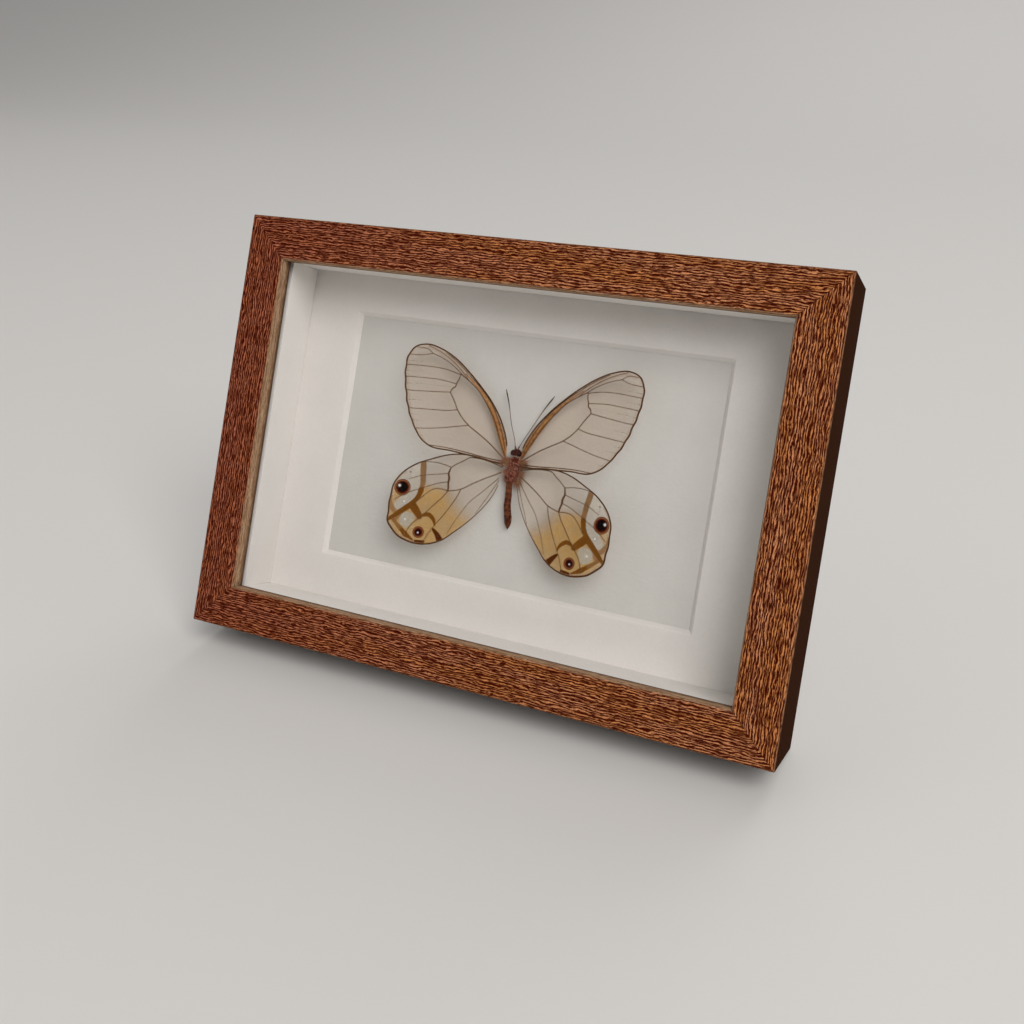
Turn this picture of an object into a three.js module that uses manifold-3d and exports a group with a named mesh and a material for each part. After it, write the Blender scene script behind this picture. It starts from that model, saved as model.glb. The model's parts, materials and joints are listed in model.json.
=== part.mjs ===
// A framed butterfly: a mitred box frame with a glass front, a bevelled mat and a
// textured card, on which a clearwing butterfly is mounted with its wings open.
// The frame leans back on a hinged easel strut. All sizes are in millimetres.
//
// Two frames of reference are used:
//   the picture frame's own: x to the right, y up along the frame from its lower
//     outer face, z from the rear plane of the rails towards the viewer;
//   the standing part's: +Z up, the glass facing -Y.
// Everything is built in the first one and tipped back as a whole at the end.

import * as THREE from 'three';
import { mergeVertices } from 'three/addons/utils/BufferGeometryUtils.js';
import Module from 'manifold-3d';

const wasm = await Module();
wasm.setup();

// ---------------------------------------------------------------- driving dimensions

const GAP = 0.3; // clearance between neighbouring solids
const OVERLAP = 1; // how far shapes that are joined or cut run past each other
const SIDES = { bar: 24, rivet: 20, pin: 16, body: 24 };

const frame = {
  width: 170, height: 120, depth: 27,
  face: 12.2, wall: 9, lip: 4.5, edge: 0.6, lean: 20,
};
const glass = { thickness: 1.6 };
const spacer = { thickness: 2.6, depth: 12.4 };
const mat = {
  thickness: 1.2, bevel: 1.2,
  windowWidth: 113.4, windowHeight: 73, windowShiftX: -0.1, windowShiftY: 0.8,
};
const board = { thickness: 1.2 };
const panel = { thickness: 2 };
const tab = { width: 8, reach: 8, bite: 4, thickness: 0.6, spread: 42 };

const hinge = { y: 88, z: -1.6, width: 24, knuckle: 7.8, outer: 1.6, bore: 0.95, pin: 0.65, sheet: 0.6 };
const leaf = {
  fixedTop: 104, movingReach: 13, plateStep: 0.3,
  lugWidth: 5, lugReach: 3.9, lugInset: 0.3, lugAngle: 46,
};
const rivet = { head: 2, headHeight: 0.7, shank: 0.9, hole: 1.2, spread: 7.5, sink: 0.2 };
const rivetShift = { fixed: 1.5, strut: -1 }; // from the middle of a leaf, along the frame
const strut = { length: 86, thickness: 1.9, topWidth: 28, footWidth: 44, topGap: 2, corner: 3 };

const wing = { thickness: 0.3, centreX: -0.3 };
const antenna = { radius: 0.15, sides: 6, steps: 10 };

// ---------------------------------------------------------------- derived levels

const glassFront = frame.depth - frame.lip - GAP;
const glassBack = glassFront - glass.thickness;
const spacerFront = glassBack - GAP;
const spacerBack = spacerFront - spacer.depth;
const matFront = spacerBack - GAP;
const matBack = matFront - mat.thickness;
const boardFront = matBack - GAP;
const boardBack = boardFront - board.thickness;
const panelFront = boardBack - GAP;
const panelBack = panelFront - panel.thickness;
const rebateWidth = frame.width - 2 * frame.wall;
const rebateHeight = frame.height - 2 * frame.wall;
const insertWidth = rebateWidth - 2 * GAP;
const insertHeight = rebateHeight - 2 * GAP;
const middleY = frame.height / 2;

// ---------------------------------------------------------------- materials

const finish = (color, roughness, metalness = 0) =>
  new THREE.MeshStandardMaterial({ color, roughness, metalness });

const materials = {
  rail: finish(0x6b2f1c, 0.55),
  glass: new THREE.MeshStandardMaterial({
    color: 0xeaf2f0, roughness: 0.05, transparent: true, opacity: 0.25,
  }),
  spacer: finish(0xe9e5df, 0.9),
  mat: finish(0xeeebe6, 0.95),
  board: finish(0xefece8, 0.95),
  panel: finish(0x8a6a4a, 0.8),
  steel: finish(0x9a9a9c, 0.35, 1),
  strut: finish(0x3a2a22, 0.8),
  body: finish(0x3a1c10, 0.9),
  forewing: finish(0xb3a58e, 0.5),
  hindwing: finish(0xb08c5a, 0.5),
  antenna: finish(0x4a3020, 0.7),
};

// ---------------------------------------------------------------- helpers

// A closed solid that manifold-3d can cut, from any closed three.js geometry.
function toManifold(geometry) {
  const bare = geometry.clone();
  bare.deleteAttribute('normal');
  bare.deleteAttribute('uv');
  const merged = mergeVertices(bare, 1e-5);
  const mesh = new wasm.Mesh({
    numProp: 3,
    vertProperties: new Float32Array(merged.attributes.position.array),
    triVerts: new Uint32Array(merged.index.array),
  });
  return new wasm.Manifold(mesh);
}

function fromManifold(solid) {
  const mesh = solid.getMesh();
  const geometry = new THREE.BufferGeometry();
  geometry.setAttribute('position', new THREE.BufferAttribute(new Float32Array(mesh.vertProperties), 3));
  geometry.setIndex(new THREE.BufferAttribute(new Uint32Array(mesh.triVerts), 1));
  const flat = geometry.toNonIndexed();
  flat.computeVertexNormals();
  return flat;
}

const cut = (geometry, ...tools) =>
  fromManifold(tools.reduce((solid, tool) => solid.subtract(toManifold(tool)), toManifold(geometry)));

const join = (first, ...others) =>
  fromManifold(others.reduce((solid, other) => solid.add(toManifold(other)), toManifold(first)));

// A box given by its lowest and highest corners.
function block([x0, y0, z0], [x1, y1, z1]) {
  return new THREE.BoxGeometry(x1 - x0, y1 - y0, z1 - z0)
    .translate((x0 + x1) / 2, (y0 + y1) / 2, (z0 + z1) / 2);
}

// A cylinder along x (lying) or along z (facing the viewer).
const barAlongX = (radius, x0, x1, y, z, sides = SIDES.bar) =>
  new THREE.CylinderGeometry(radius, radius, x1 - x0, sides)
    .rotateZ(Math.PI / 2)
    .translate((x0 + x1) / 2, y, z);

const barAlongZ = (radius, x, y, z0, z1) =>
  new THREE.CylinderGeometry(radius, radius, z1 - z0, SIDES.rivet)
    .rotateX(Math.PI / 2)
    .translate(x, y, (z0 + z1) / 2);

const piece = (name, geometry, material) => {
  const mesh = new THREE.Mesh(geometry, material);
  mesh.name = name;
  return mesh;
};

// ---------------------------------------------------------------- the four rails

// The section of a rail: u runs inwards from the outer face, z towards the viewer.
const railSection = [
  [0, 0],
  [frame.wall, 0],
  [frame.wall, frame.depth - frame.lip],
  [frame.face, frame.depth - frame.lip],
  [frame.face, frame.depth - frame.edge],
  [frame.face - frame.edge, frame.depth],
  [frame.edge, frame.depth],
  [0, frame.depth - frame.edge],
];

// A rail lying along x with its outer face down: each point of the section is a
// line whose ends are set back with u, so that the ends are 45 degree mitres.
function railGeometry(length) {
  const setBack = GAP / Math.SQRT2;
  const shape = new THREE.Shape(railSection.map(([u, z]) => new THREE.Vector2(u, z)));
  const geometry = new THREE.ExtrudeGeometry(shape, { depth: 1, bevelEnabled: false });
  const position = geometry.attributes.position;
  for (let i = 0; i < position.count; i += 1) {
    const u = position.getX(i);
    const z = position.getY(i);
    const side = position.getZ(i) > 0.5 ? 1 : -1;
    position.setXYZ(i, side * (length / 2 - u - setBack), u, z);
  }
  return geometry;
}

// A slot for a retaining tab, in a rail that lies along x with its outer face down.
const tabLevel = panelBack - GAP - tab.thickness;
function tabSlot(x) {
  const half = tab.width / 2 + GAP;
  return block(
    [x - half, frame.wall - tab.bite - GAP, tabLevel - GAP],
    [x + half, frame.wall + OVERLAP, tabLevel + tab.thickness + GAP],
  );
}

// A flat tab that enters the rail's wall and reaches over the back panel.
function tabGeometry(x) {
  const half = tab.width / 2;
  const shape = new THREE.Shape();
  const tip = frame.wall + tab.reach - tab.bite;
  shape.moveTo(x - half, frame.wall - tab.bite);
  shape.lineTo(x + half, frame.wall - tab.bite);
  shape.lineTo(x + half, tip - half);
  shape.absarc(x, tip - half, half, 0, Math.PI, false);
  return new THREE.ExtrudeGeometry(shape, { depth: tab.thickness, bevelEnabled: false, curveSegments: 12 })
    .translate(0, 0, tabLevel);
}

// Turns a piece that lies along the bottom of the frame round to one of its sides.
const sides = {
  bottom: { length: frame.width, turn: 0, slots: [-tab.spread, tab.spread] },
  right: { length: frame.height, turn: Math.PI / 2, slots: [0] },
  top: { length: frame.width, turn: Math.PI, slots: [-tab.spread, tab.spread] },
  left: { length: frame.height, turn: -Math.PI / 2, slots: [0] },
};

function toSide(geometry, { length, turn }) {
  const across = length === frame.width ? frame.height : frame.width;
  return geometry.translate(0, -across / 2, 0).rotateZ(turn).translate(0, middleY, 0);
}

function makeRails() {
  const made = [];
  for (const [side, place] of Object.entries(sides)) {
    const rail = cut(railGeometry(place.length), ...place.slots.map(tabSlot));
    made.push(piece(`rail_${side}`, toSide(rail, place), materials.rail));
  }
  return made;
}

const tabNames = {
  bottom: ['tab_bottom_left', 'tab_bottom_right'],
  right: ['tab_side_right'],
  top: ['tab_top_right', 'tab_top_left'],
  left: ['tab_side_left'],
};

function makeTabs() {
  const made = [];
  for (const [side, place] of Object.entries(sides)) {
    place.slots.forEach((x, index) => {
      made.push(piece(tabNames[side][index], toSide(tabGeometry(x), place), materials.steel));
    });
  }
  return made;
}

// ---------------------------------------------------------------- what lies in the rebate

const sheet = (width, height, back, front) =>
  block([-width / 2, middleY - height / 2, back], [width / 2, middleY + height / 2, front]);

// Four strips stand on edge between the glass and the mat. The upper and lower ones
// run the whole width and the side ones fit between them.
function makeSpacers() {
  const halfW = insertWidth / 2;
  const low = middleY - insertHeight / 2;
  const high = middleY + insertHeight / 2;
  const t = spacer.thickness;
  const between = [low + t + GAP, high - t - GAP];
  const strip = (name, x0, x1, y0, y1) =>
    piece(`spacer_${name}`, block([x0, y0, spacerBack], [x1, y1, spacerFront]), materials.spacer);
  return [
    strip('bottom', -halfW, halfW, low, low + t),
    strip('top', -halfW, halfW, high - t, high),
    strip('left', -halfW, -halfW + t, ...between),
    strip('right', halfW - t, halfW, ...between),
  ];
}

// The mat's window is cut with a 45 degree bevel, wider at the front than at the back.
function makeMat() {
  const over = 0.5;
  const slope = mat.bevel / mat.thickness;
  const frustum = new THREE.BoxGeometry(1, 1, mat.thickness + 2 * over);
  const position = frustum.attributes.position;
  for (let i = 0; i < position.count; i += 1) {
    const front = position.getZ(i) > 0;
    const inset = front ? -over * slope : mat.bevel + over * slope;
    const x = Math.sign(position.getX(i)) * (mat.windowWidth / 2 - inset) + mat.windowShiftX;
    const y = Math.sign(position.getY(i)) * (mat.windowHeight / 2 - inset) + middleY + mat.windowShiftY;
    position.setXYZ(i, x, y, front ? matFront + over : matBack - over);
  }
  return piece('mat', cut(sheet(insertWidth, insertHeight, matBack, matFront), frustum), materials.mat);
}

// A pair of rivet holes at height y, through everything between the levels back and front.
const rivetHoles = (y, back, front) =>
  [-1, 1].map((side) => barAlongZ(rivet.hole, side * rivet.spread, y, back - OVERLAP, front + OVERLAP));

const fixedRivetY = (hinge.y + leaf.fixedTop) / 2 + rivetShift.fixed;

function makeInsides() {
  const holes = rivetHoles(fixedRivetY, panelBack, panelFront);
  const back = cut(sheet(insertWidth, insertHeight, panelBack, panelFront), ...holes);
  return [
    piece('glass_pane', sheet(insertWidth, insertHeight, glassBack, glassFront), materials.glass),
    ...makeSpacers(),
    makeMat(),
    piece('specimen_board', sheet(insertWidth, insertHeight, boardBack, boardFront), materials.board),
    piece('back_panel', back, materials.panel),
  ];
}

// ---------------------------------------------------------------- the easel strut

const halfHinge = hinge.width / 2;
const knuckleInner = halfHinge - hinge.knuckle;
const bore = barAlongX(hinge.bore, -halfHinge - OVERLAP, halfHinge + OVERLAP, hinge.y, hinge.z);
const leafBack = panelBack - GAP - hinge.sheet;

// The fixed leaf: a flat plate on the back panel, two webs that step out to the
// hinge line, and a knuckle on each web.
function makeFixedLeaf() {
  const webLow = hinge.y + hinge.outer - hinge.sheet;
  const plateLow = hinge.y + hinge.outer + GAP + leaf.plateStep;
  const leafFront = leafBack + hinge.sheet;
  const parts = [block([-halfHinge, plateLow, leafBack], [halfHinge, leaf.fixedTop, leafFront])];
  for (const side of [-1, 1]) {
    const [x0, x1] = side < 0 ? [-halfHinge, -knuckleInner] : [knuckleInner, halfHinge];
    parts.push(block([x0, webLow, hinge.z], [x1, webLow + hinge.sheet, leafFront]));
    parts.push(block([x0, webLow, leafBack], [x1, plateLow + OVERLAP, leafFront]));
    parts.push(barAlongX(hinge.outer, x0, x1, hinge.y, hinge.z));
  }
  const solid = cut(join(...parts), bore, ...rivetHoles(fixedRivetY, leafBack, leafFront));
  return piece('hinge_leaf_fixed', solid, materials.steel);
}

// A rivet whose head lies on the rear level and whose shank reaches the front one.
const rivetSolid = (x, y, rear, front) =>
  join(
    barAlongZ(rivet.head, x, y, rear - rivet.headHeight, rear),
    barAlongZ(rivet.shank, x, y, rear - rivet.sink, front),
  );

const sideName = (side) => (side < 0 ? 'left' : 'right');

// Two rivets, one on each side of the middle.
const makeRivets = (name, y, rear, front) =>
  [-1, 1].map((side) => {
    const solid = rivetSolid(side * rivet.spread, y, rear, front);
    return piece(`${name}_${sideName(side)}`, solid, materials.steel);
  });

// The strut is drawn folded flat against the rails, and opened about the hinge line
// until its foot meets the surface. legMiddle is how far the leg's mid-plane lies
// in front of the hinge line.
const legFront = -GAP;
const legBack = legFront - strut.thickness;
const legMiddle = (legFront + legBack) / 2 - hinge.z;
const lean = THREE.MathUtils.degToRad(frame.lean);
const hingeHeight = hinge.y * Math.cos(lean) + hinge.z * Math.sin(lean);
const footReach = Math.hypot(strut.length, legMiddle);
const footSwing = Math.acos(hingeHeight / footReach) + Math.atan(legMiddle / strut.length);
const strutOpening = lean + footSwing;

// The leg widens towards its foot, which is cut to stand flat when the strut is open.
function makeLeg(rivetY) {
  const top = hinge.y - hinge.outer - strut.topGap;
  const foot = hinge.y - strut.length;
  const shape = new THREE.Shape();
  const rough = foot - strut.thickness;
  shape.moveTo(-strut.footWidth / 2, rough);
  shape.lineTo(strut.footWidth / 2, rough);
  shape.lineTo(strut.topWidth / 2, top - strut.corner);
  shape.lineTo(strut.topWidth / 2 - strut.corner, top);
  shape.lineTo(-strut.topWidth / 2 + strut.corner, top);
  shape.lineTo(-strut.topWidth / 2, top - strut.corner);
  const leg = new THREE.ExtrudeGeometry(shape, { depth: strut.thickness, bevelEnabled: false })
    .translate(0, 0, legBack);
  const wasteDepth = 10 * strut.thickness;
  const waste = new THREE.BoxGeometry(strut.footWidth + 2 * OVERLAP, wasteDepth, wasteDepth)
    .translate(0, -wasteDepth / 2, 0)
    .rotateX(-footSwing)
    .translate(0, foot, hinge.z + legMiddle);
  return piece('strut_leg', cut(leg, waste, ...rivetHoles(rivetY, legBack, legFront)), materials.strut);
}

// The moving leaf: a plate on the rear of the leg, a neck, the middle knuckle and a
// stop lug that meets the fixed leaf when the strut is open.
function makeMovingLeaf(rivetY) {
  const back = hinge.z - hinge.outer;
  const front = back + hinge.sheet;
  const plateTop = hinge.y - hinge.outer - GAP;
  const half = knuckleInner - GAP;
  const lugStart = hinge.bore + leaf.lugInset;
  const lug = new THREE.BoxGeometry(leaf.lugWidth, leaf.lugReach - lugStart, hinge.sheet)
    .translate(0, (leaf.lugReach + lugStart) / 2, 0)
    .rotateX(THREE.MathUtils.degToRad(leaf.lugAngle) - strutOpening)
    .translate(0, hinge.y, hinge.z);
  const solid = cut(
    join(
      block([-halfHinge, hinge.y - hinge.outer - leaf.movingReach, back], [halfHinge, plateTop, front]),
      block([-half, plateTop - OVERLAP, back], [half, hinge.y, front]),
      barAlongX(hinge.outer, -half, half, hinge.y, hinge.z),
      lug,
    ),
    bore,
    ...rivetHoles(rivetY, back, front),
  );
  return piece('hinge_leaf_moving', solid, materials.steel);
}

function makeStrut() {
  const rivetY = hinge.y - hinge.outer - leaf.movingReach / 2 + rivetShift.strut;
  const rivets = makeRivets('rivet_strut', rivetY, hinge.z - hinge.outer - GAP, legFront);
  const folded = new THREE.Group();
  folded.add(makeLeg(rivetY), makeMovingLeaf(rivetY), ...rivets);
  folded.position.set(0, -hinge.y, -hinge.z);
  const opened = new THREE.Group();
  opened.add(folded);
  opened.position.set(0, hinge.y, hinge.z);
  opened.rotation.x = strutOpening;
  return opened;
}

function makeHingePin() {
  const pin = barAlongX(hinge.pin, -halfHinge, halfHinge, hinge.y, hinge.z, SIDES.pin);
  return piece('hinge_pin', pin, materials.steel);
}

// ---------------------------------------------------------------- the butterfly

// Wing outlines as points (out, up): out is the distance from the body's middle line
// and up is the height above the frame's middle. A closed smooth curve runs through
// them. rise gives how far the wing stands off the card: root + perOut * out + perUp * up.
const forewing = {
  outline: [
    [2.6, 1.1], [2.7, 5], [4.6, 10.1], [8.7, 16.2], [12.6, 20.2], [17.2, 24.2], [21.4, 27.2],
    [25.6, 29.2], [30.2, 30.1], [33.7, 29], [35.4, 26.1], [35.5, 22.2], [34.1, 16.2], [32.4, 11.1],
    [29.6, 6.2], [26.9, 3.1], [24.2, 1.6], [18.2, 1.3], [10.1, 1], [4.5, 0.6],
  ],
  root: 2.3,
  perOut: 0.174,
  perUp: -0.081,
};

const hindwing = {
  outline: [
    [2.7, -2.8], [2.6, -0.6], [5, 0], [8.6, 0.5], [12.1, 0.8], [15.1, 0.7], [18.7, -0.1], [23.2, -2],
    [27.1, -4], [30.3, -6.7], [32.2, -9.5], [32.9, -13.1], [32.8, -17.5], [32.4, -21.1],
    [30.9, -23.1], [28.1, -25], [23.3, -26.1], [18.8, -25.4], [15.8, -23.9], [12.9, -21.2],
    [8.7, -16.7], [6, -13], [4.1, -9.6], [3, -6.1],
  ],
  root: 1.75,
  perOut: 0.16,
  perUp: -0.11,
};

function makeWing(name, { outline, root, perOut, perUp }, side, material) {
  const corners = outline.map(([out, up]) => new THREE.Vector3(out, up, 0));
  const curve = new THREE.CatmullRomCurve3(corners, true, 'centripetal');
  const points = curve.getPoints(corners.length * 3);
  points.pop();
  const shape = new THREE.Shape(points.map(({ x, y }) => new THREE.Vector2(side * x, y)));
  const geometry = new THREE.ExtrudeGeometry(shape, { depth: wing.thickness, bevelEnabled: false });
  const position = geometry.attributes.position;
  for (let i = 0; i < position.count; i += 1) {
    const x = position.getX(i);
    const up = position.getY(i);
    const rise = root + perOut * Math.abs(x) + perUp * up;
    position.setXYZ(i, x + wing.centreX, up + middleY, boardFront + rise + position.getZ(i));
  }
  return piece(name, geometry, material);
}

// The body is turned about its middle line and then bent sideways as that line is. A
// profile pair is (radius, up along the body), a line pair is (up, shift to the right).
const bodyProfile = [
  [0, -17.8], [0.5, -17], [0.95, -15.6], [1.02, -12.5], [0.9, -8], [0.85, -5], [1.1, -4],
  [1.45, -2.6], [1.6, -0.8], [1.5, 1], [1.2, 2.2], [1.2, 2.6], [1.5, 3.3], [1.45, 4.3],
  [0.9, 4.9], [0, 5.1],
];
const bodyLine = [
  [-17.8, 1], [-14.6, 0.7], [-11.4, 0.1], [-8.2, -0.1], [-5, -0.3], [-2, 0.1], [0, 0.3], [5.1, 0.5],
];
const bodyRise = 2.3;

// The middle line's shift at a height, in straight stretches between its pairs.
function bodyShift(up) {
  const last = bodyLine.length - 1;
  const next = bodyLine.findIndex(([height]) => height > up);
  if (next === 0) return bodyLine[0][1];
  if (next === -1) return bodyLine[last][1];
  const [[lowUp, lowShift], [highUp, highShift]] = [bodyLine[next - 1], bodyLine[next]];
  return THREE.MathUtils.mapLinear(up, lowUp, highUp, lowShift, highShift);
}

function makeBody() {
  const profile = bodyProfile.map(([radius, up]) => new THREE.Vector2(radius, up));
  const geometry = new THREE.LatheGeometry(profile, SIDES.body);
  const position = geometry.attributes.position;
  for (let i = 0; i < position.count; i += 1) {
    position.setX(i, position.getX(i) + bodyShift(position.getY(i)));
  }
  return piece('butterfly_body', geometry.translate(0, middleY, boardFront + bodyRise), materials.body);
}

// An antenna is a fine tube along a slightly bowed line, from the head to its tip.
const antennaRoute = {
  left: [[-0.2, 5.6, 2.5], [-2.4, 11.6, 2.3], [-4.3, 17.2, 1.9], [-5.7, 20.8, 1.6]],
  right: [[1.2, 5.6, 2.5], [4.1, 11.6, 2.3], [6.9, 17.2, 1.9], [8.9, 20.8, 1.6]],
};

function makeAntenna(side) {
  const route = antennaRoute[side].map(
    ([x, up, rise]) => new THREE.Vector3(x, up + middleY, boardFront + rise),
  );
  const section = new THREE.Shape();
  section.absarc(0, 0, antenna.radius, 0, 2 * Math.PI, false);
  const geometry = new THREE.ExtrudeGeometry(section, {
    steps: antenna.steps,
    curveSegments: antenna.sides,
    extrudePath: new THREE.CatmullRomCurve3(route),
    bevelEnabled: false,
  });
  return piece(`antenna_${side}`, geometry, materials.antenna);
}

function makeButterfly() {
  return [
    makeBody(),
    makeWing('forewing_left', forewing, -1, materials.forewing),
    makeWing('forewing_right', forewing, 1, materials.forewing),
    makeWing('hindwing_left', hindwing, -1, materials.hindwing),
    makeWing('hindwing_right', hindwing, 1, materials.hindwing),
    makeAntenna('left'),
    makeAntenna('right'),
  ];
}

// ---------------------------------------------------------------- the whole part

const drawn = new THREE.Group();
drawn.add(...makeRails(), ...makeTabs(), ...makeInsides(), ...makeButterfly());
drawn.add(makeFixedLeaf(), ...makeRivets('rivet_fixed', fixedRivetY, leafBack - GAP, panelFront));
drawn.add(makeHingePin(), makeStrut());

// Stands the frame up (its y becomes +Z, its front faces -Y) and leans it back.
drawn.rotation.x = Math.PI / 2 - lean;

const standing = new THREE.Group();
standing.add(drawn);
standing.updateMatrixWorld(true);

// The origin is in the middle of the whole part's footprint, on the surface.
const box = new THREE.Box3().setFromObject(standing, true);
const middle = box.getCenter(new THREE.Vector3());
standing.position.set(-middle.x, -middle.y, -box.min.z);

export default standing;
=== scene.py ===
# %% [markdown]
# A framed butterfly, built piece by piece
#
# The object is a box frame of four mitred rails with a glass front. Inside stand four
# strips of card, a mat with a bevelled window and a textured card, on which a clearwing
# butterfly is mounted. The frame leans back on a hinged strut.
#
# The rails, boards and hinge already exist as plain solids at their real size. This
# lesson loads them, measures them, and gives each one the surface of the real thing.
# The shapes made here are worked out with numpy as whole arrays of points.

# %% Load the plain model and measure it
import json
import math

import bmesh
import bpy
import numpy as np
from mathutils import Matrix, Vector


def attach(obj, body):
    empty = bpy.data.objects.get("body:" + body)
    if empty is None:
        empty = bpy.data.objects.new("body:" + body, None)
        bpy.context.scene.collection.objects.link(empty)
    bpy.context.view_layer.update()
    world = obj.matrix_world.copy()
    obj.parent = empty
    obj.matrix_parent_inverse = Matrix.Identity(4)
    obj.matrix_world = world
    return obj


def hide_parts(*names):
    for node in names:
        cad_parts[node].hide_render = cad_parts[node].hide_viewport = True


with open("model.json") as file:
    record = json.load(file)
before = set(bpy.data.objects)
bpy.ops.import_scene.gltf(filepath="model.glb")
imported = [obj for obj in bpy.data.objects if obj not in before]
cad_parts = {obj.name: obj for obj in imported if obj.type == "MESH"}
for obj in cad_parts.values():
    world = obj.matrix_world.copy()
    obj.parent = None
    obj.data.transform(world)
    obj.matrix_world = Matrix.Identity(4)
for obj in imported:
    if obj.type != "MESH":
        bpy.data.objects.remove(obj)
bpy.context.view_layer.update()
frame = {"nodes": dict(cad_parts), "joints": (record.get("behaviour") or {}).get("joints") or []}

nodes = frame["nodes"]

# %% [markdown]
# The object leans back by 20 degrees, which makes every number awkward. So all shapes
# below are written in the picture frame's own millimetres, as if it lay flat on a
# drawing board: x to the right, y up along the frame, z from the back of the rails
# towards the viewer. One function then tips the points back into the standing pose.
# The hinge of the strut is known in both, and ties the two together.

# %% From the frame's own millimetres to the standing pose
LEAN = math.radians(20)
HINGE_Y = 88
HINGE_Z = -1.6
SIN, COS = math.sin(LEAN), math.cos(LEAN)
TIP_BACK = np.array([[1, 0, 0], [0, SIN, -COS], [0, COS, SIN]])
hinge_place = np.array(frame["joints"][0]["pos_m"]) * 1000
SHIFT = hinge_place - TIP_BACK @ np.array([0, HINGE_Y, HINGE_Z])


def stand(points):
    """Own millimetres to standing metres: turn by the lean, then shift."""
    return (np.asarray(points, float) @ TIP_BACK.T + SHIFT) / 1000


def lay(points):
    """Standing metres back to own millimetres: the same steps undone."""
    return (np.asarray(points, float) * 1000 - SHIFT) @ TIP_BACK


def own_box(node):
    """Lowest and highest corner of a plain solid, in own millimetres."""
    points = lay([v.co for v in nodes[node].data.vertices])
    return points.min(0), points.max(0)


rails_low, rails_high = own_box("rail_left")[0], own_box("rail_right")[1]
WIDTH = rails_high[0] - rails_low[0]
HEIGHT = rails_high[1] - rails_low[1]
DEPTH = rails_high[2] - rails_low[2]
MIDDLE_Y = (rails_low[1] + rails_high[1]) / 2
CARD_Z = own_box("specimen_board")[1][2]
print("frame, mm:", round(WIDTH, 2), round(HEIGHT, 2), round(DEPTH, 2), "card face at", round(CARD_Z, 2))

# %% [markdown]
# The camera stands to the right of the object and a little above it, and looks down
# on it, as someone would who picks the frame out on a shelf. Its place is written
# in the frame's own millimetres, its direction as three angles. A small shift of the
# lens moves the object down in the picture without tilting the camera.

# %% Camera
CAMERA_PLACE = (115.4, 74.7, 296.1)
AZIMUTH = math.radians(23.6)
ELEVATION = math.radians(-19.82)
ROLL = math.radians(1.09)
LENS_MM = 39.18
SENSOR_MM = 36
LENS_SHIFT = -0.0716
NEAREST_SEEN = 0.005

level = math.cos(ELEVATION)
look = Vector((-math.sin(AZIMUTH) * level, math.cos(AZIMUTH) * level, math.sin(ELEVATION)))
level_right = look.cross(Vector((0, 0, 1))).normalized()
level_up = level_right.cross(look)
right = level_right * math.cos(ROLL) + level_up * math.sin(ROLL)
up = right.cross(look)

camera_data = bpy.data.cameras.new("camera")
camera_data.lens = LENS_MM
camera_data.sensor_width = SENSOR_MM
camera_data.shift_y = LENS_SHIFT
camera_data.clip_start = NEAREST_SEEN
camera = bpy.data.objects.new("camera", camera_data)
camera_turn = Matrix((right, up, -look)).transposed().to_4x4()
camera.matrix_world = Matrix.Translation(Vector(stand(CAMERA_PLACE))) @ camera_turn
bpy.context.scene.collection.objects.link(camera)
bpy.context.scene.camera = camera
print("camera at", [round(v, 4) for v in camera.location])

# %% [markdown]
# The floor is plain and pale, and it curves up far behind the object, so that no
# horizon shows. An even pale surround lights everything a little. One large soft lamp
# stands high on the right in front: the top and right rails throw a soft shade onto
# the mat, which is what shows that the frame is deep. A weaker lamp on the left keeps
# that side from going flat. A third one, high behind the object, lights the floor and
# the top of the frame.

# %% Floor and light
def soft_lamp(name, place, aim, size, watts, colour):
    """A square lamp at a place in metres, turned to face a point."""
    data = bpy.data.lights.new(name, "AREA")
    data.size = size
    data.energy = watts
    data.color = colour
    lamp = bpy.data.objects.new(name, data)
    lamp.location = place
    lamp.rotation_euler = (Vector(aim) - Vector(place)).to_track_quat("-Z", "Y").to_euler()
    bpy.context.scene.collection.objects.link(lamp)
    return lamp


OBJECT_MIDDLE = (0, 0, 0.06)
SURROUND_COLOUR = (1.0, 0.985, 0.97, 1)
SURROUND_STRENGTH = 0.295
FLOOR_COLOUR = (0.74, 0.73, 0.715, 1)
FLOOR_ROUGHNESS = 0.75
soft_lamp("key_lamp", (1.45, -1.60, 2.0), OBJECT_MIDDLE, 1.8, 56, (1.0, 0.972, 0.945))
fill_lamp = soft_lamp("fill_lamp", (-2.4, -1.9, 1.6), OBJECT_MIDDLE, 2.1, 4.5, (1.0, 0.99, 0.98))
fill_lamp.visible_glossy = False
soft_lamp("back_lamp", (0.3, 2.7, 2.6), OBJECT_MIDDLE, 2.4, 32, (1.0, 0.985, 0.965))

surround = bpy.data.worlds.new("surround")
surround.use_nodes = True
glow = surround.node_tree.nodes["Background"]
glow.inputs["Color"].default_value = SURROUND_COLOUR
glow.inputs["Strength"].default_value = SURROUND_STRENGTH
bpy.context.scene.world = surround
bpy.context.scene.view_settings.view_transform = "Standard"

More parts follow.
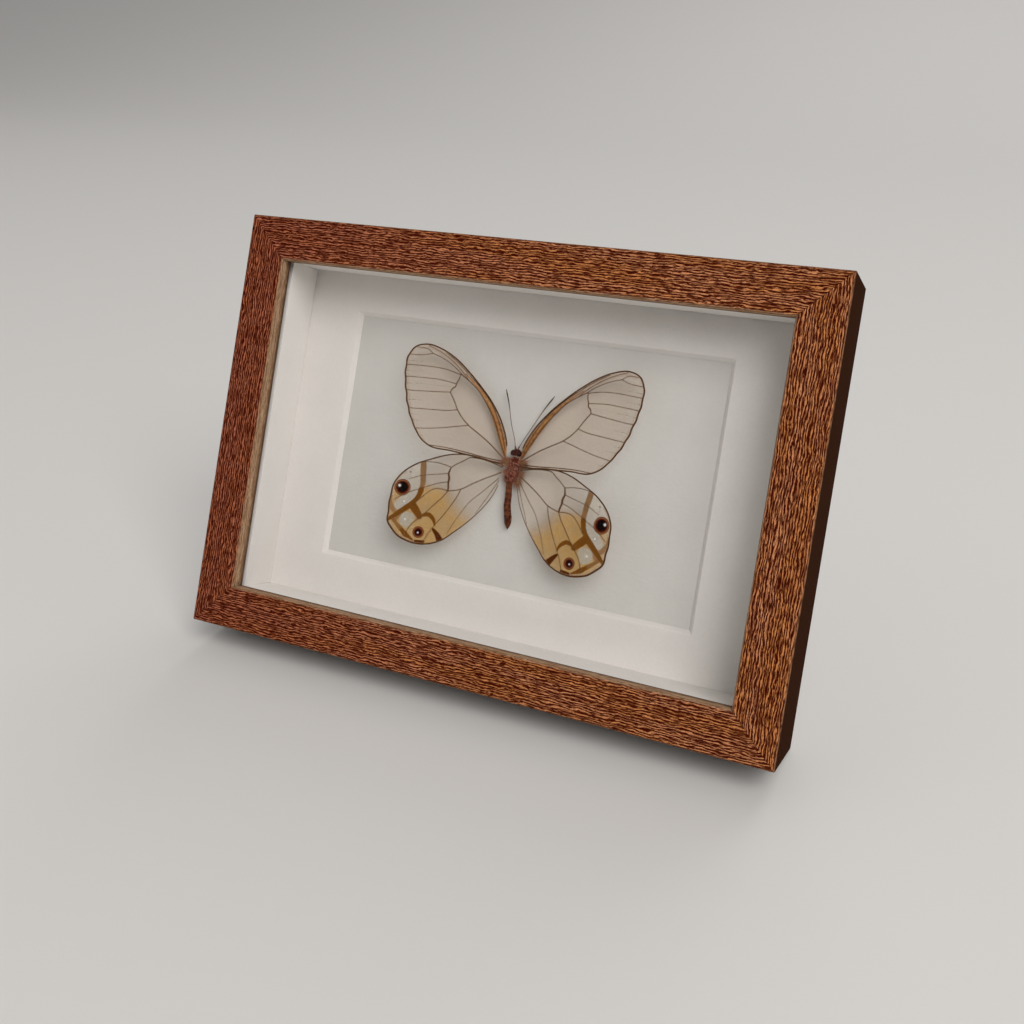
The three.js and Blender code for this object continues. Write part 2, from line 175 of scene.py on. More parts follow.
FLOOR_HALF = 7.0
COVE_START = 1.6
COVE_RADIUS = 4.2
COVE_TOP = 5.0
COVE_STEPS = 48
cove_angle = np.linspace(0, math.pi / 2, COVE_STEPS)
cove_y = COVE_START + COVE_RADIUS * np.sin(cove_angle)
cove_y = np.concatenate([[-FLOOR_HALF], cove_y, [COVE_START + COVE_RADIUS]])
cove_z = np.concatenate([[0], COVE_RADIUS * (1 - np.cos(cove_angle)), [COVE_TOP]])
floor_left = np.stack([np.full(len(cove_y), -FLOOR_HALF), cove_y, cove_z], 1)
floor_points = np.concatenate([floor_left, floor_left * (-1, 1, 1)])
row = np.arange(len(cove_y) - 1)
other_side = row + len(cove_y)
floor_faces = np.stack([row, other_side, other_side + 1, row + 1], 1)
floor_mesh = bpy.data.meshes.new("floor")
floor_mesh.from_pydata(floor_points.tolist(), [], floor_faces.tolist())
floor_mesh.polygons.foreach_set("use_smooth", np.ones(len(row), bool))
floor = bpy.data.objects.new("floor", floor_mesh)
bpy.context.scene.collection.objects.link(floor)
floor_paint = bpy.data.materials.new("floor_paint")
floor_paint.use_nodes = True
floor_shader = floor_paint.node_tree.nodes["Principled BSDF"]
floor_shader.inputs["Base Color"].default_value = FLOOR_COLOUR
floor_shader.inputs["Roughness"].default_value = FLOOR_ROUGHNESS
floor_mesh.materials.append(floor_paint)
print("floor", 2 * FLOOR_HALF, "m wide, lamps:", len(bpy.data.lights))

# %% [markdown]
# A material in Blender is a graph of nodes. Written out in full, each node takes five
# lines, so a few helpers come first: one that adds a node and feeds its inputs, and
# short names for the steps that every finish uses, such as a sum, a soft threshold
# or a blend of two colours.

# %% Helpers for materials
def feed(tree, socket, value):
    """Links the socket if the value is another node's output, or else sets it."""
    if isinstance(value, bpy.types.NodeSocket):
        tree.links.new(value, socket)
    elif isinstance(value, (tuple, list)) and len(value) == 3 and socket.type == "RGBA":
        socket.default_value = (*value, 1)
    else:
        socket.default_value = value


def add(tree, kind, inputs=None, **settings):
    """A new node of this kind, with its settings and inputs."""
    made = tree.nodes.new("ShaderNode" + kind)
    for name, value in settings.items():
        setattr(made, name, value)
    for name, value in (inputs or {}).items():
        feed(tree, made.inputs[name], value)
    return made


def calc(tree, operation, *values):
    """One step of arithmetic."""
    made = tree.nodes.new("ShaderNodeMath")
    made.operation = operation
    for socket, value in zip(made.inputs, values):
        feed(tree, socket, value)
    return made.outputs[0]


def fade(tree, value, start, end, low=0.0, high=1.0):
    """A smooth step: low before start, high after end."""
    made = add(tree, "MapRange", interpolation_type="SMOOTHSTEP")
    for name, number in {"From Min": start, "From Max": end, "To Min": low, "To Max": high}.items():
        made.inputs[name].default_value = number
    tree.links.new(value, made.inputs["Value"])
    return made.outputs["Result"]


def blend(tree, share, first, second, mode="MIX"):
    """Two colours mixed: the share says how much of the second shows."""
    made = add(tree, "Mix", data_type="RGBA", blend_type=mode)
    for index, value in ((0, share), (6, first), (7, second)):
        feed(tree, made.inputs[index], value)
    return made.outputs[2]


def noise(tree, vector, scale, detail=2.0, roughness=0.5):
    """Cloudy noise between 0 and 1, about 0.5 on average."""
    made = add(tree, "TexNoise", {"Vector": vector, "Scale": scale, "Detail": detail})
    made.inputs["Roughness"].default_value = roughness
    return made.outputs["Fac"]


def stretch(tree, vector, scale=(1, 1, 1), turn=(0, 0, 0), shift=(0, 0, 0)):
    """The same coordinates, stretched, turned or moved."""
    made = add(tree, "Mapping", {"Vector": vector, "Scale": scale, "Rotation": turn, "Location": shift})
    return made.outputs["Vector"]


def value_of(tree, name):
    """A number that the piece carries at each of its points."""
    return add(tree, "Attribute", attribute_name=name).outputs["Fac"]


def relief(tree, height, depth, strength=1.0):
    """Turns a height into a bumpy surface; depth is in metres."""
    made = add(tree, "Bump", {"Height": height, "Strength": strength, "Distance": depth})
    return made.outputs["Normal"]


def new_finish(name, **constants):
    """An empty material: returns it with its graph and its shader."""
    material = bpy.data.materials.new(name)
    material.use_nodes = True
    shader = material.node_tree.nodes["Principled BSDF"]
    for word, value in constants.items():
        feed(material.node_tree, shader.inputs[word.replace("_", " ")], value)
    return material, material.node_tree, shader


def paint(tree, shader, **sources):
    """Feeds the shader's inputs from the graph."""
    for word, source in sources.items():
        feed(tree, shader.inputs[word.replace("_", " ")], source)


def object_place(tree):
    """Place in the object, in metres."""
    return add(tree, "TexCoord").outputs["Object"]


def solid_place(tree):
    """The same, turned back so that it lies as the frame does."""
    return stretch(tree, object_place(tree), turn=(-(math.pi / 2 - LEAN), 0, 0))


print("material helpers ready")

# %% [markdown]
# New pieces are grids of points. One function turns a grid into faces, one turns
# points and faces into a Blender object, standing in its place. A closed surface
# must have its faces pointing outwards. Its signed volume tells: if that comes out
# negative, every face is turned round.

# %% Helpers for shapes
def grid_faces(rows, columns, first=0, wrap=False):
    """Squares of a grid stored row by row. With wrap the last column meets the first."""
    index = first + np.arange(rows * columns).reshape(rows, columns)
    if wrap:
        index = np.hstack([index, index[:, :1]])
    a, b, c, d = index[:-1, :-1], index[1:, :-1], index[1:, 1:], index[:-1, 1:]
    return np.stack([a, b, c, d], -1).reshape(-1, 4)


def volume(points, faces):
    """Sum over all faces, cut into triangles from a corner, of the signed cone to the origin."""
    total = 0.0
    for group in faces:
        for k in range(1, group.shape[1] - 1):
            a, b, c = points[group[:, 0]], points[group[:, k]], points[group[:, k + 1]]
            total += np.einsum("ij,ij->", a, np.cross(b, c)) / 6
    return total


def facing_out(points, faces):
    """The faces, turned round if they point inwards."""
    if volume(points - points.mean(0), faces) < 0:
        return [group[:, ::-1] for group in faces]
    return faces


def join_shapes(shapes):
    """Several (points, faces, values) as one, with the faces renumbered."""
    points, faces, values, start = [], [], {}, 0
    names = sorted({name for shape in shapes for name in shape[2]})
    for shape_points, shape_faces, shape_values in shapes:
        count = len(shape_points)
        points.append(shape_points)
        faces += [group + start for group in shape_faces]
        start += count
        for name in names:
            numbers = shape_values.get(name, np.zeros(count))
            values.setdefault(name, []).append(np.broadcast_to(numbers, count))
    return np.concatenate(points), faces, {name: np.concatenate(parts) for name, parts in values.items()}


def make_piece(name, points, faces, finish, body="frame", replaces=(),
               values=None, flat_uv=None, sharp=40):
    """A finished object from points in own millimetres and groups of faces."""
    placed = stand(points)
    faces = facing_out(placed, faces)
    corners = np.concatenate([group.ravel() for group in faces])
    sizes = np.concatenate([np.full(len(group), group.shape[1]) for group in faces])
    mesh = bpy.data.meshes.new(name)
    mesh.vertices.add(len(placed))
    mesh.vertices.foreach_set("co", placed.astype(np.float32).ravel())
    mesh.loops.add(len(corners))
    mesh.loops.foreach_set("vertex_index", corners.astype(np.int32))
    mesh.polygons.add(len(sizes))
    mesh.polygons.foreach_set("loop_start", (np.cumsum(sizes) - sizes).astype(np.int32))
    mesh.update(calc_edges=True)
    mesh.polygons.foreach_set("use_smooth", np.ones(len(sizes), bool))
    mesh.set_sharp_from_angle(angle=math.radians(sharp))
    for word, numbers in (values or {}).items():
        layer = mesh.attributes.new(word, "FLOAT", "POINT")
        layer.data.foreach_set("value", np.asarray(numbers, np.float32))
    if flat_uv is not None:
        layer = mesh.uv_layers.new(name="foil")
        layer.data.foreach_set("uv", np.asarray(flat_uv, np.float32)[corners].ravel())
    mesh.validate()
    mesh.materials.append(finish)
    piece = bpy.data.objects.new(name, mesh)
    bpy.context.scene.collection.objects.link(piece)
    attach(piece, body)
    if replaces:
        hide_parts(*replaces)
    triangles = int((sizes - 2).sum())
    print(f"{name}: {len(placed)} points, {triangles} triangles")
    return piece


print("shape helpers ready")

# %% [markdown]
# Three more helpers serve every piece that follows a line. The first measures the way
# along it, the second draws a smooth curve through a few points, and the third carries
# a round section along it, which makes veins, palps and antennae.

# %% Smooth lines and tubes
def way_along(line):
    """How far each point lies from the first, measured along the line."""
    return np.concatenate([[0], np.cumsum(np.linalg.norm(np.diff(line, axis=0), axis=1))])


def smooth_line(points, count):
    """A smooth line of count points that passes through the given ones.

    Between two given points it is a cubic, which leaves and arrives along the slope of its neighbours."""
    p = np.asarray(points, float)
    length = way_along(p)
    slope = np.gradient(p, length, axis=0)
    t = np.linspace(0, length[-1], count)
    k = np.clip(np.searchsorted(length, t, side="right") - 1, 0, len(p) - 2)
    step = (length[k + 1] - length[k])[:, None]
    w = (t - length[k])[:, None] / step
    near = (2 * w**3 - 3 * w**2 + 1) * p[k] + (w**3 - 2 * w**2 + w) * step * slope[k]
    far = (3 * w**2 - 2 * w**3) * p[k + 1] + (w**3 - w**2) * step * slope[k + 1]
    return near + far


def tube(line, radii, sides=6):
    """A round section on each point of the line: point + radius x (cos a x side + sin a x top)."""
    line = np.asarray(line, float)
    radii = np.broadcast_to(radii, len(line))
    along = np.gradient(line, axis=0)
    along /= np.linalg.norm(along, axis=1)[:, None]
    side = np.cross(along, (0.0, 0.0, 1.0))
    side /= np.linalg.norm(side, axis=1)[:, None]
    top = np.cross(side, along)
    angle = np.linspace(0, 2 * np.pi, sides, endpoint=False)
    ring = np.cos(angle)[None, :, None] * side[:, None] + np.sin(angle)[None, :, None] * top[:, None]
    body = line[:, None] + radii[:, None, None] * ring
    points = np.concatenate([body.reshape(-1, 3), line[:1], line[-1:]])
    count = len(line) * sides
    around = np.arange(sides)
    last = count - sides
    start_cap = np.stack([np.full(sides, count), around, (around + 1) % sides], 1)
    end_cap = np.stack([np.full(sides, count + 1), last + (around + 1) % sides, last + around], 1)
    walls = grid_faces(len(line), sides, wrap=True)[:, ::-1]
    return points, [walls, start_cap[:, ::-1], end_cap[:, ::-1]], {}


print("line and tube helpers ready")

# %% [markdown]
# The rails are the loudest surface of the object. They are cut from a moulding of
# wood fibre, which is wrapped in a printed and embossed foil: a dark red-brown ground
# with wavy copper-coloured ridges, less than a millimetre apart, which run along each
# rail and meet at the mitres. The ridges are a sine wave across the rail. Cloudy noise
# pushes the wave to and fro, slowly for the sway of the grain and quickly for its
# trembling, and a stretched noise breaks the lines up. The pattern follows the
# piece's own flat layout, in millimetres, so that it turns with the rail.
#
# Towards the left of the frame the copper is redder and the ridges are weaker. This is
# painted shade, standing in for the sheen that the right side catches. On the flanks the
# foil is a plain dark brown, which is painted shade that keeps the sides dark. Its inner
# edge, the lip, has its own print in tan. It has a cream painted highlight near the front
# and a dark painted shadow where it meets the glass.

# %% Finish of the rails
GRAIN_SPACING = 0.70
FOIL_DARK = (0.048, 0.0040, 0.0012)
FOIL_MIDDLE = (0.15, 0.026, 0.004)
FOIL_COPPER = (0.64, 0.265, 0.118)
FOIL_ORANGE = (0.61, 0.235, 0.078)
FOIL_WORN_HIGHLIGHT = (0.58, 0.29, 0.15)
FLANK_SHADE_BROWN = (0.028, 0.0080, 0.0024)
FOIL_COPPER_SHADED = (0.46, 0.120, 0.080)
FIBRE_BROWN = (0.30, 0.19, 0.11)
FIBRE_DARK = (0.20, 0.12, 0.066)
LIP_TAN = (0.42, 0.25, 0.145)
LIP_BROWN = (0.15, 0.070, 0.034)
LIP_RIDGE = (0.58, 0.38, 0.24)
LIP_HIGHLIGHT_CREAM = (0.62, 0.45, 0.285)
LIP_GROOVE = (0.20, 0.100, 0.050)
LIP_SHADOW_DARK = (0.060, 0.036, 0.022)
SHEEN = 0.01


def ridges(tree, flat, spacing, sway, tremble):
    """Lines along the rail: a sine wave across it, pushed to and fro by a slow and a quick noise."""
    across = add(tree, "SeparateXYZ", {"Vector": flat}).outputs["Y"]
    slow = noise(tree, stretch(tree, flat, (0.16, 0.42, 1)), 1.0, 2.0)
    quick = noise(tree, stretch(tree, flat, (0.5, 1.2, 1), shift=(spacing, 7, 0)), 1.0, 4.0, 0.62)
    phase = calc(tree, "MULTIPLY_ADD", slow, sway, calc(tree, "DIVIDE", across, spacing))
    phase = calc(tree, "MULTIPLY_ADD", quick, tremble, phase)
    return calc(tree, "SINE", calc(tree, "MULTIPLY", phase, 2 * math.pi))


def foil_ridges(tree, flat, speck):
    """How strongly the ridges show, and the broad ones among them alone."""
    pools = noise(tree, stretch(tree, flat, (0.22, 0.75, 1)), 1.0, 2.0, 0.5)
    main = fade(tree, ridges(tree, flat, GRAIN_SPACING, 2.8, 1.15), 0.05, 0.70)
    thin = fade(tree, ridges(tree, flat, GRAIN_SPACING * 0.6, 3.6, 1.5), 0.20, 0.85, 0.0, 0.7)
    main = calc(tree, "MULTIPLY", main, fade(tree, speck, 0.38, 0.53, 0.12, 1.0))
    thin = calc(tree, "MULTIPLY", thin, fade(tree, speck, 0.46, 0.60))
    both = calc(tree, "MAXIMUM", main, thin)
    return calc(tree, "MULTIPLY", both, fade(tree, pools, 0.34, 0.52, 0.35, 1.0)), main


def foil_front(tree, flat, speck, ridge):
    """Colour of the front: copper ridges on the dark ground, with painted shade that makes them redder and
    weaker towards the left.
    """
    broad = noise(tree, stretch(tree, flat, (1 / 40, 1 / 5, 1)), 1.0, 2.0)
    ground = blend(tree, fade(tree, speck, 0.45, 0.75), FOIL_DARK, FOIL_MIDDLE)
    copper = blend(tree, fade(tree, broad, 0.42, 0.60), FOIL_COPPER, FOIL_ORANGE)
    rightwards = add(tree, "SeparateXYZ", {"Vector": object_place(tree)}).outputs["X"]
    # painted shade: towards the left the copper turns redder and the ridges weaker, in place of the sheen
    # that the right side catches
    painted_shade_left = fade(tree, calc(tree, "MULTIPLY_ADD", broad, 0.06, rightwards), -0.09, 0.07, 0.72, 0.0)
    copper = blend(tree, painted_shade_left, copper, FOIL_COPPER_SHADED)
    shown = calc(tree, "MULTIPLY", ridge, calc(tree, "MULTIPLY_ADD", painted_shade_left, -0.30, 1.0))
    return blend(tree, shown, ground, copper)


def foil_lip(tree, flat, fibre, main):
    """Colour of the inner edge: tan print, a cream painted highlight near the front, grooves, and a dark
    painted shadow near the glass.
    """
    grooves = fade(tree, noise(tree, stretch(tree, flat, (0.14, 1.5, 1)), 1.0, 3.0, 0.6), 0.46, 0.60)
    deep = value_of(tree, "deep")
    # painted highlight: a cream band on the front part of the lip
    painted_highlight = calc(tree, "MULTIPLY", fade(tree, deep, 0.08, 0.25), fade(tree, deep, 0.42, 0.60, 0.55, 0.0))
    painted_highlight = calc(tree, "MULTIPLY", painted_highlight, fade(tree, fibre, 0.36, 0.58, 0.42, 1.0))
    lip = blend(tree, fade(tree, fibre, 0.40, 0.60), LIP_BROWN, LIP_TAN)
    lip = blend(tree, calc(tree, "MULTIPLY", main, 0.5), lip, LIP_RIDGE)
    lip = blend(tree, calc(tree, "MULTIPLY", painted_highlight, 0.85), lip, LIP_HIGHLIGHT_CREAM)
    lip = blend(tree, calc(tree, "MULTIPLY", grooves, 0.65), lip, LIP_GROOVE)
    # painted shadow: the lip turns dark where it meets the glass
    return blend(tree, fade(tree, deep, 0.62, 0.88, 0.0, 0.8), lip, LIP_SHADOW_DARK)


def foil_finish():
    """The whole rail: front, flank in painted shade, worn corners that also carry a painted highlight, lip
    and the bare fibre behind.
    """
    material, tree, shader = new_finish("wood_foil")
    flat = add(tree, "UVMap", uv_map="foil").outputs["UV"]
    speck = noise(tree, stretch(tree, flat, (0.5, 2.8, 1)), 1.0, 3.0, 0.65)
    fibre = noise(tree, stretch(tree, flat, (0.5, 3.0, 1)), 1.0, 4.0, 0.7)
    on_flank = value_of(tree, "flank")
    ridge, main = foil_ridges(tree, flat, speck)
    # painted shade: the flanks get a darker brown than the foil of the front
    flank = blend(tree, fade(tree, fibre, 0.3, 0.8), FLANK_SHADE_BROWN, tuple(1.7 * v for v in FLANK_SHADE_BROWN))
    foil = blend(tree, on_flank, foil_front(tree, flat, speck, ridge), flank)
    # a pale broken line along the outer front edge: partly wear, partly a painted highlight on the rounded
    # edge
    worn_highlight = calc(tree, "MULTIPLY", value_of(tree, "worn_highlight"), fade(tree, speck, 0.38, 0.56, 0.08, 0.75))
    foil = blend(tree, worn_highlight, foil, FOIL_WORN_HIGHLIGHT)
    colour = blend(tree, value_of(tree, "lip"), foil, foil_lip(tree, flat, fibre, main))
    colour = blend(tree, value_of(tree, "bare"), colour, blend(tree, fibre, FIBRE_DARK, FIBRE_BROWN))
    rough = calc(tree, "SUBTRACT", 0.58, calc(tree, "MULTIPLY", ridge, 0.14))
    rough = calc(tree, "MAXIMUM", rough, calc(tree, "MULTIPLY", on_flank, 0.9))
    bump = relief(tree, calc(tree, "ADD", ridge, calc(tree, "MULTIPLY", fibre, 0.2)), 0.00012, 0.6)
    paint(tree, shader, Base_Color=colour, Roughness=rough, Normal=bump, Specular_IOR_Level=SHEEN)
    return material


wood_foil = foil_finish()
print("wood foil: ridges", GRAIN_SPACING, "mm apart")

# %% [markdown]
# One rail is an L-shaped section carried along a line. The section's corners are
# rounded a little, as wrapped foil cannot turn a sharp corner. Towards the ends
# every line of the section stops at the 45 degree plane of the mitre: the further
# in it lies, the sooner it stops. The last fraction of a millimetre closes in
# slightly, so that the joint shows as a fine line.

# %% The four rails
WALL = 9
FACE = 12.2
LIP = 4.5
MITRE_GAP = 0.03
MITRE_ROUND = 0.07
NEXT_STRETCH = 300
RAIL_CORNERS = [
    (0, 0, 0.5), (WALL, 0, 0.2), (WALL, DEPTH - LIP, 0.15), (FACE, DEPTH - LIP, 0.2),
    (FACE, DEPTH, 0.75), (0, DEPTH, 0.8),
]


def rounded_outline(corners, arc_steps=6, longest=1.2):
    """Each corner becomes a short curve that starts and ends on its two edges.

    Edges longer than the longest step get points in between."""
    spots = np.array([(x, y) for x, y, _ in corners], float)
    outline = []
    for i, (x, y, radius) in enumerate(corners):
        here = np.array([x, y], float)
        before, after = spots[i - 1] - here, spots[(i + 1) % len(corners)] - here
        enter = here + before / np.linalg.norm(before) * radius
        leave = here + after / np.linalg.norm(after) * radius
        t = np.linspace(0, 1, arc_steps)[:, None]
        outline.append((1 - t) ** 2 * enter + 2 * t * (1 - t) * here + t**2 * leave)
    outline = np.concatenate(outline)
    ahead = np.roll(outline, -1, 0)
    parts = np.maximum(1, np.ceil(np.linalg.norm(ahead - outline, axis=1) / longest)).astype(int)
    filled = [a + (b - a) * np.arange(n)[:, None] / n for a, b, n in zip(outline, ahead, parts)]
    return np.concatenate(filled)


rail_section = rounded_outline(RAIL_CORNERS)
section_next = np.roll(rail_section, -1, 0) - np.roll(rail_section, 1, 0)
section_out = np.stack([section_next[:, 1], -section_next[:, 0]], 1)
section_out /= np.linalg.norm(section_out, axis=1)[:, None]
section_way = way_along(rail_section)


def near(value, low, high, soft=0.3):
    """1 between low and high, falling to 0 over the soft width."""
    return np.clip(np.minimum(value - low, high - value) / soft + 1, 0, 1)


def make_rail(side, length, turn, index):
    """Point = (t x (length / 2 - u), u, z), turned about the middle of the frame to its side.

    Each rail shows another stretch of the foil, NEXT_STRETCH millimetres further on."""
    steps = int(length / 2)
    t = np.linspace(-1, 1, steps + 1)
    edge = 1 - MITRE_ROUND / (length / 2)
    t = np.concatenate([[-1, -edge], t[1:-1], [edge, 1]])
    closing = np.zeros(len(t))
    closing[[0, -1]] = MITRE_ROUND
    section = rail_section[None] - section_out[None] * closing[:, None, None]
    u, z = section[..., 0], section[..., 1]
    along = t[:, None] * (length / 2 - MITRE_GAP - np.clip(u, 0, FACE))
    across = WIDTH if length == HEIGHT else HEIGHT
    flat = np.stack([along, u - across / 2], -1)
    turned = flat @ np.array([[math.cos(turn), math.sin(turn)], [-math.sin(turn), math.cos(turn)]])
    points = np.stack([turned[..., 0], turned[..., 1] + MIDDLE_Y, z], -1)
    rows, columns = u.shape
    ends = [np.arange(columns)[None], (rows - 1) * columns + np.arange(columns)[None]]
    faces = [grid_faces(rows, columns, wrap=True), ends[0], ends[1][:, ::-1]]
    behind_lip = near(u, WALL - 0.05, WALL + 9, 0.1) * near(z, -1, DEPTH - LIP + 0.05, 0.1)
    values = {
        "worn_highlight": 0.75 * near(z, DEPTH - 0.35, DEPTH + 1) * near(u, -1, 0.18, 0.2),
        "lip": near(u, FACE - 0.25, FACE + 1, 0.3) * near(z, DEPTH - LIP - 1, DEPTH + 1),
        "deep": (DEPTH - z) / LIP,
        "flank": near(u, -1, 0.12, 0.25),
        "bare": np.maximum(near(z, -1, 0.05, 0.1), behind_lip),
    }
    way = np.broadcast_to(section_way, u.shape)
    flat_uv = np.stack([along + NEXT_STRETCH * index, way], -1).reshape(-1, 2)
    values = {name: np.broadcast_to(v, u.shape).ravel() for name, v in values.items()}
    return make_piece(
        f"moulding_{side}", points.reshape(-1, 3), faces, wood_foil,
        replaces=[f"rail_{side}"], values=values, flat_uv=flat_uv,
    )


RAIL_SIDES = [
    ("bottom", WIDTH, 0),
    ("right", HEIGHT, math.pi / 2),
    ("top", WIDTH, math.pi),
    ("left", HEIGHT, -math.pi / 2),
]
for rail_index, (rail_side, rail_length, rail_turn) in enumerate(RAIL_SIDES):
    make_rail(rail_side, rail_length, rail_turn, rail_index)

# %% [markdown]
# Inside the frame everything is paper and card. The plain solids have the right
# shape already, so a copy is enough: its loose triangles are merged, flat faces are
# joined, and a small bevel takes off the knife edge that no real card has. Each plain
# solid keeps clear of the next by 0.3 mm. Real card lies on card, so the copies reach
# almost across that gap.

# %% Copies with softened edges
MERGE_WITHIN = 2e-6
FLAT_WITHIN = math.radians(1)
SHARPER_THAN = math.radians(30)
BEVEL_STEPS = 3


def softened(node, name, finish, edge, body="frame", low=(0, 0, 0), high=(0, 0, 0)):
    """A copy of a plain solid with a small bevel on every sharp edge.

    Its lowest and highest faces can be moved outwards, by as many own millimetres."""
    mesh = nodes[node].data.copy()
    mesh.name = name
    points = lay([v.co for v in mesh.vertices])
    at_low, at_high = points < points.min(0) + 0.01, points > points.max(0) - 0.01
    points += at_high * np.array(high) - at_low * np.array(low)
    mesh.vertices.foreach_set("co", stand(points).astype(np.float32).ravel())
    work = bmesh.new()
    work.from_mesh(mesh)
    bmesh.ops.remove_doubles(work, verts=work.verts, dist=MERGE_WITHIN)
    bmesh.ops.dissolve_limit(work, angle_limit=FLAT_WITHIN, verts=work.verts, edges=work.edges)
    work.to_mesh(mesh)
    work.free()
    mesh.materials.clear()
    mesh.materials.append(finish)
    piece = bpy.data.objects.new(name, mesh)
    bpy.context.scene.collection.objects.link(piece)
    bevel = piece.modifiers.new("soft_edge", "BEVEL")
    bevel.width = edge / 1000
    bevel.segments = BEVEL_STEPS
    bevel.limit_method = "ANGLE"
    bevel.angle_limit = SHARPER_THAN
    bevel.harden_normals = True
    mesh.polygons.foreach_set("use_smooth", np.ones(len(mesh.polygons), bool))
    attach(piece, body)
    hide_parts(node)
    print(f"{name}: copy of {node}, edges rounded by {edge} mm")
    return piece


print("copies get bevels of", BEVEL_STEPS, "steps")

# %% [markdown]
# White card is never one white. The mat is smooth with a faint mottle, the strips
# are the same card on edge, and the mounting card has the pebbled surface of
# watercolour paper, about a millimetre from grain to grain.

# %% Paper finishes
PAPER_HOLLOW_SHADE = (0.55, 0.52, 0.48)


def paper_finish(name, colour, shade, grain, depth, strength):
    """Fine noise for the fibres, a coarser one for the grain, both as relief, with painted shade in the
    hollows of the grain.

    The two colours are the paper and its mottle, grain says how fine the pebbles are."""
    material, tree, shader = new_finish(name, Roughness=0.92, Specular_IOR_Level=0.2)
    place = solid_place(tree)
    mottle = noise(tree, place, 60, 3.0, 0.6)
    pebble = noise(tree, place, grain, 3.0, 0.55)
    fibre = noise(tree, place, grain * 4.5, 3.0, 0.65)
    height = calc(tree, "ADD", pebble, calc(tree, "MULTIPLY", fibre, 0.35))
    tone = blend(tree, fade(tree, mottle, 0.3, 0.7), shade, colour)
    # painted shade: the low points of the grain are darkened
    tone = blend(tree, fade(tree, height, 0.45, 0.85, 0.10, 0.0), tone, PAPER_HOLLOW_SHADE)
    paint(tree, shader, Base_Color=tone, Normal=relief(tree, height, depth, strength))
    return material


CLOSE_UP = 0.27
mat_paper = paper_finish("mat_paper", (0.79, 0.762, 0.733), (0.765, 0.737, 0.708), 1400, 0.00006, 0.5)
strip_paper = paper_finish("strip_paper", (0.85, 0.828, 0.80), (0.83, 0.808, 0.78), 1700, 0.00005, 0.4)
card_paper = paper_finish("card_paper", (0.65, 0.637, 0.602), (0.625, 0.612, 0.578), 950, 0.00014, 0.75)
softened("mat", "window_mat", mat_paper, 0.08, low=(0, 0, CLOSE_UP))
softened("specimen_board", "mounting_card", card_paper, 0.08)
for strip_side in ("top", "bottom", "left", "right"):
    longer = CLOSE_UP if strip_side in ("left", "right") else 0
    softened(f"spacer_{strip_side}", f"strip_{strip_side}", strip_paper, 0.06,
             low=(0, longer, CLOSE_UP), high=(0, longer, CLOSE_UP))

# %% [markdown]
# Glass seen straight on is almost nothing: it lets the light through and adds a faint
# mirror image that grows towards a grazing view. Mixing a see-through shader with a
# mirror gives just that, and lamps still light the inside, which a refracting glass
# would keep dark. The mirror's share comes from how far a face turns away, which is
# the same on the front and the back of the pane: the exact Fresnel rule expects bent
# light, and without it would turn the back face into a full mirror from the side. A
# breath of dust keeps the mirror from being perfect.

# %% Glass
FACING_MIRROR = 0.002
GRAZING_MIRROR = 0.9
CLEAR_GLASS = (0.985, 0.985, 0.985)


def glass_finish():
    """Clear, plus a mirror whose share grows with the fifth power of (1 - cosine of the angle)."""
    material = bpy.data.materials.new("clear_glass")
    material.use_nodes = True
    tree = material.node_tree
    tree.nodes.clear()
    place = solid_place(tree)
    clear = add(tree, "BsdfTransparent", {"Color": CLEAR_GLASS})
    smear = fade(tree, noise(tree, place, 45, 3.0, 0.6), 0.45, 0.75, 0.015, 0.06)
    mirror = add(tree, "BsdfGlossy", {"Color": (1.0, 1.0, 1.0), "Roughness": smear})
    edge_on = add(tree, "LayerWeight", {"Blend": 0.5}).outputs["Facing"]
    share = calc(tree, "MULTIPLY_ADD", calc(tree, "POWER", edge_on, 5.0), GRAZING_MIRROR, FACING_MIRROR)
    mixed = add(tree, "MixShader", {0: share, 1: clear.outputs[0], 2: mirror.outputs[0]})
    add(tree, "OutputMaterial", {"Surface": mixed.outputs[0]})
    return material


softened("glass_pane", "glass", glass_finish(), 0.1, high=(0, 0, CLOSE_UP))

# %% [markdown]
# Now the butterfly. Its wings are clear membranes held by veins, and both are drawn
# from a few points in millimetres: how far out from the middle of the body, and how
# far up from the middle of the frame. The wings rise from the body to their tips,
# like a very open V, and sag a little between the veins.

# %% Where a wing lies
BODY_X = -0.3
MEMBRANE = 0.07


def wing_rise(kind, out, up):
    """Height over the card: a tilted plane, plus one slow wave that keeps it from being flat."""
    if kind == "fore":
        return 2.3 + 0.174 * out - 0.081 * up + 0.12 * np.sin(0.28 * out + 0.15 * up)
    return 1.75 + 0.16 * out - 0.11 * up + 0.15 * np.sin(0.26 * out + 0.3 * up + 2.0)


def wing_place(kind, side, flat, extra=0.0):
    """(out, up) to own millimetres; side is -1 for the left wing and 1 for the right."""
    out, up = flat[..., 0], flat[..., 1]
    x = BODY_X + side * out
    return np.stack([x, MIDDLE_Y + up, CARD_Z + wing_rise(kind, out, up) + extra], -1)


def drawn_out(numbers, count):
    """A few numbers drawn out to count of them, with even steps from each to the next."""
    numbers = np.atleast_1d(numbers)
    return np.interp(np.linspace(0, 1, count), np.linspace(0, 1, len(numbers)), numbers)


def line_distance(flat, line, half_width=0):
    """Shortest way from each point to the line, less the line's half width there."""
    line = np.asarray(line, float)
    widths = drawn_out(half_width, len(line))
    best = np.full(flat.shape[:-1], np.inf)
    for a, b, wide_a, wide_b in zip(line[:-1], line[1:], widths[:-1], widths[1:]):
        way = b - a
        t = np.clip((flat - a) @ way / (way @ way), 0, 1)
        gap = np.linalg.norm(flat - a - t[..., None] * way, axis=-1)
        best = np.minimum(best, gap - (wide_a + (wide_b - wide_a) * t))
    return best


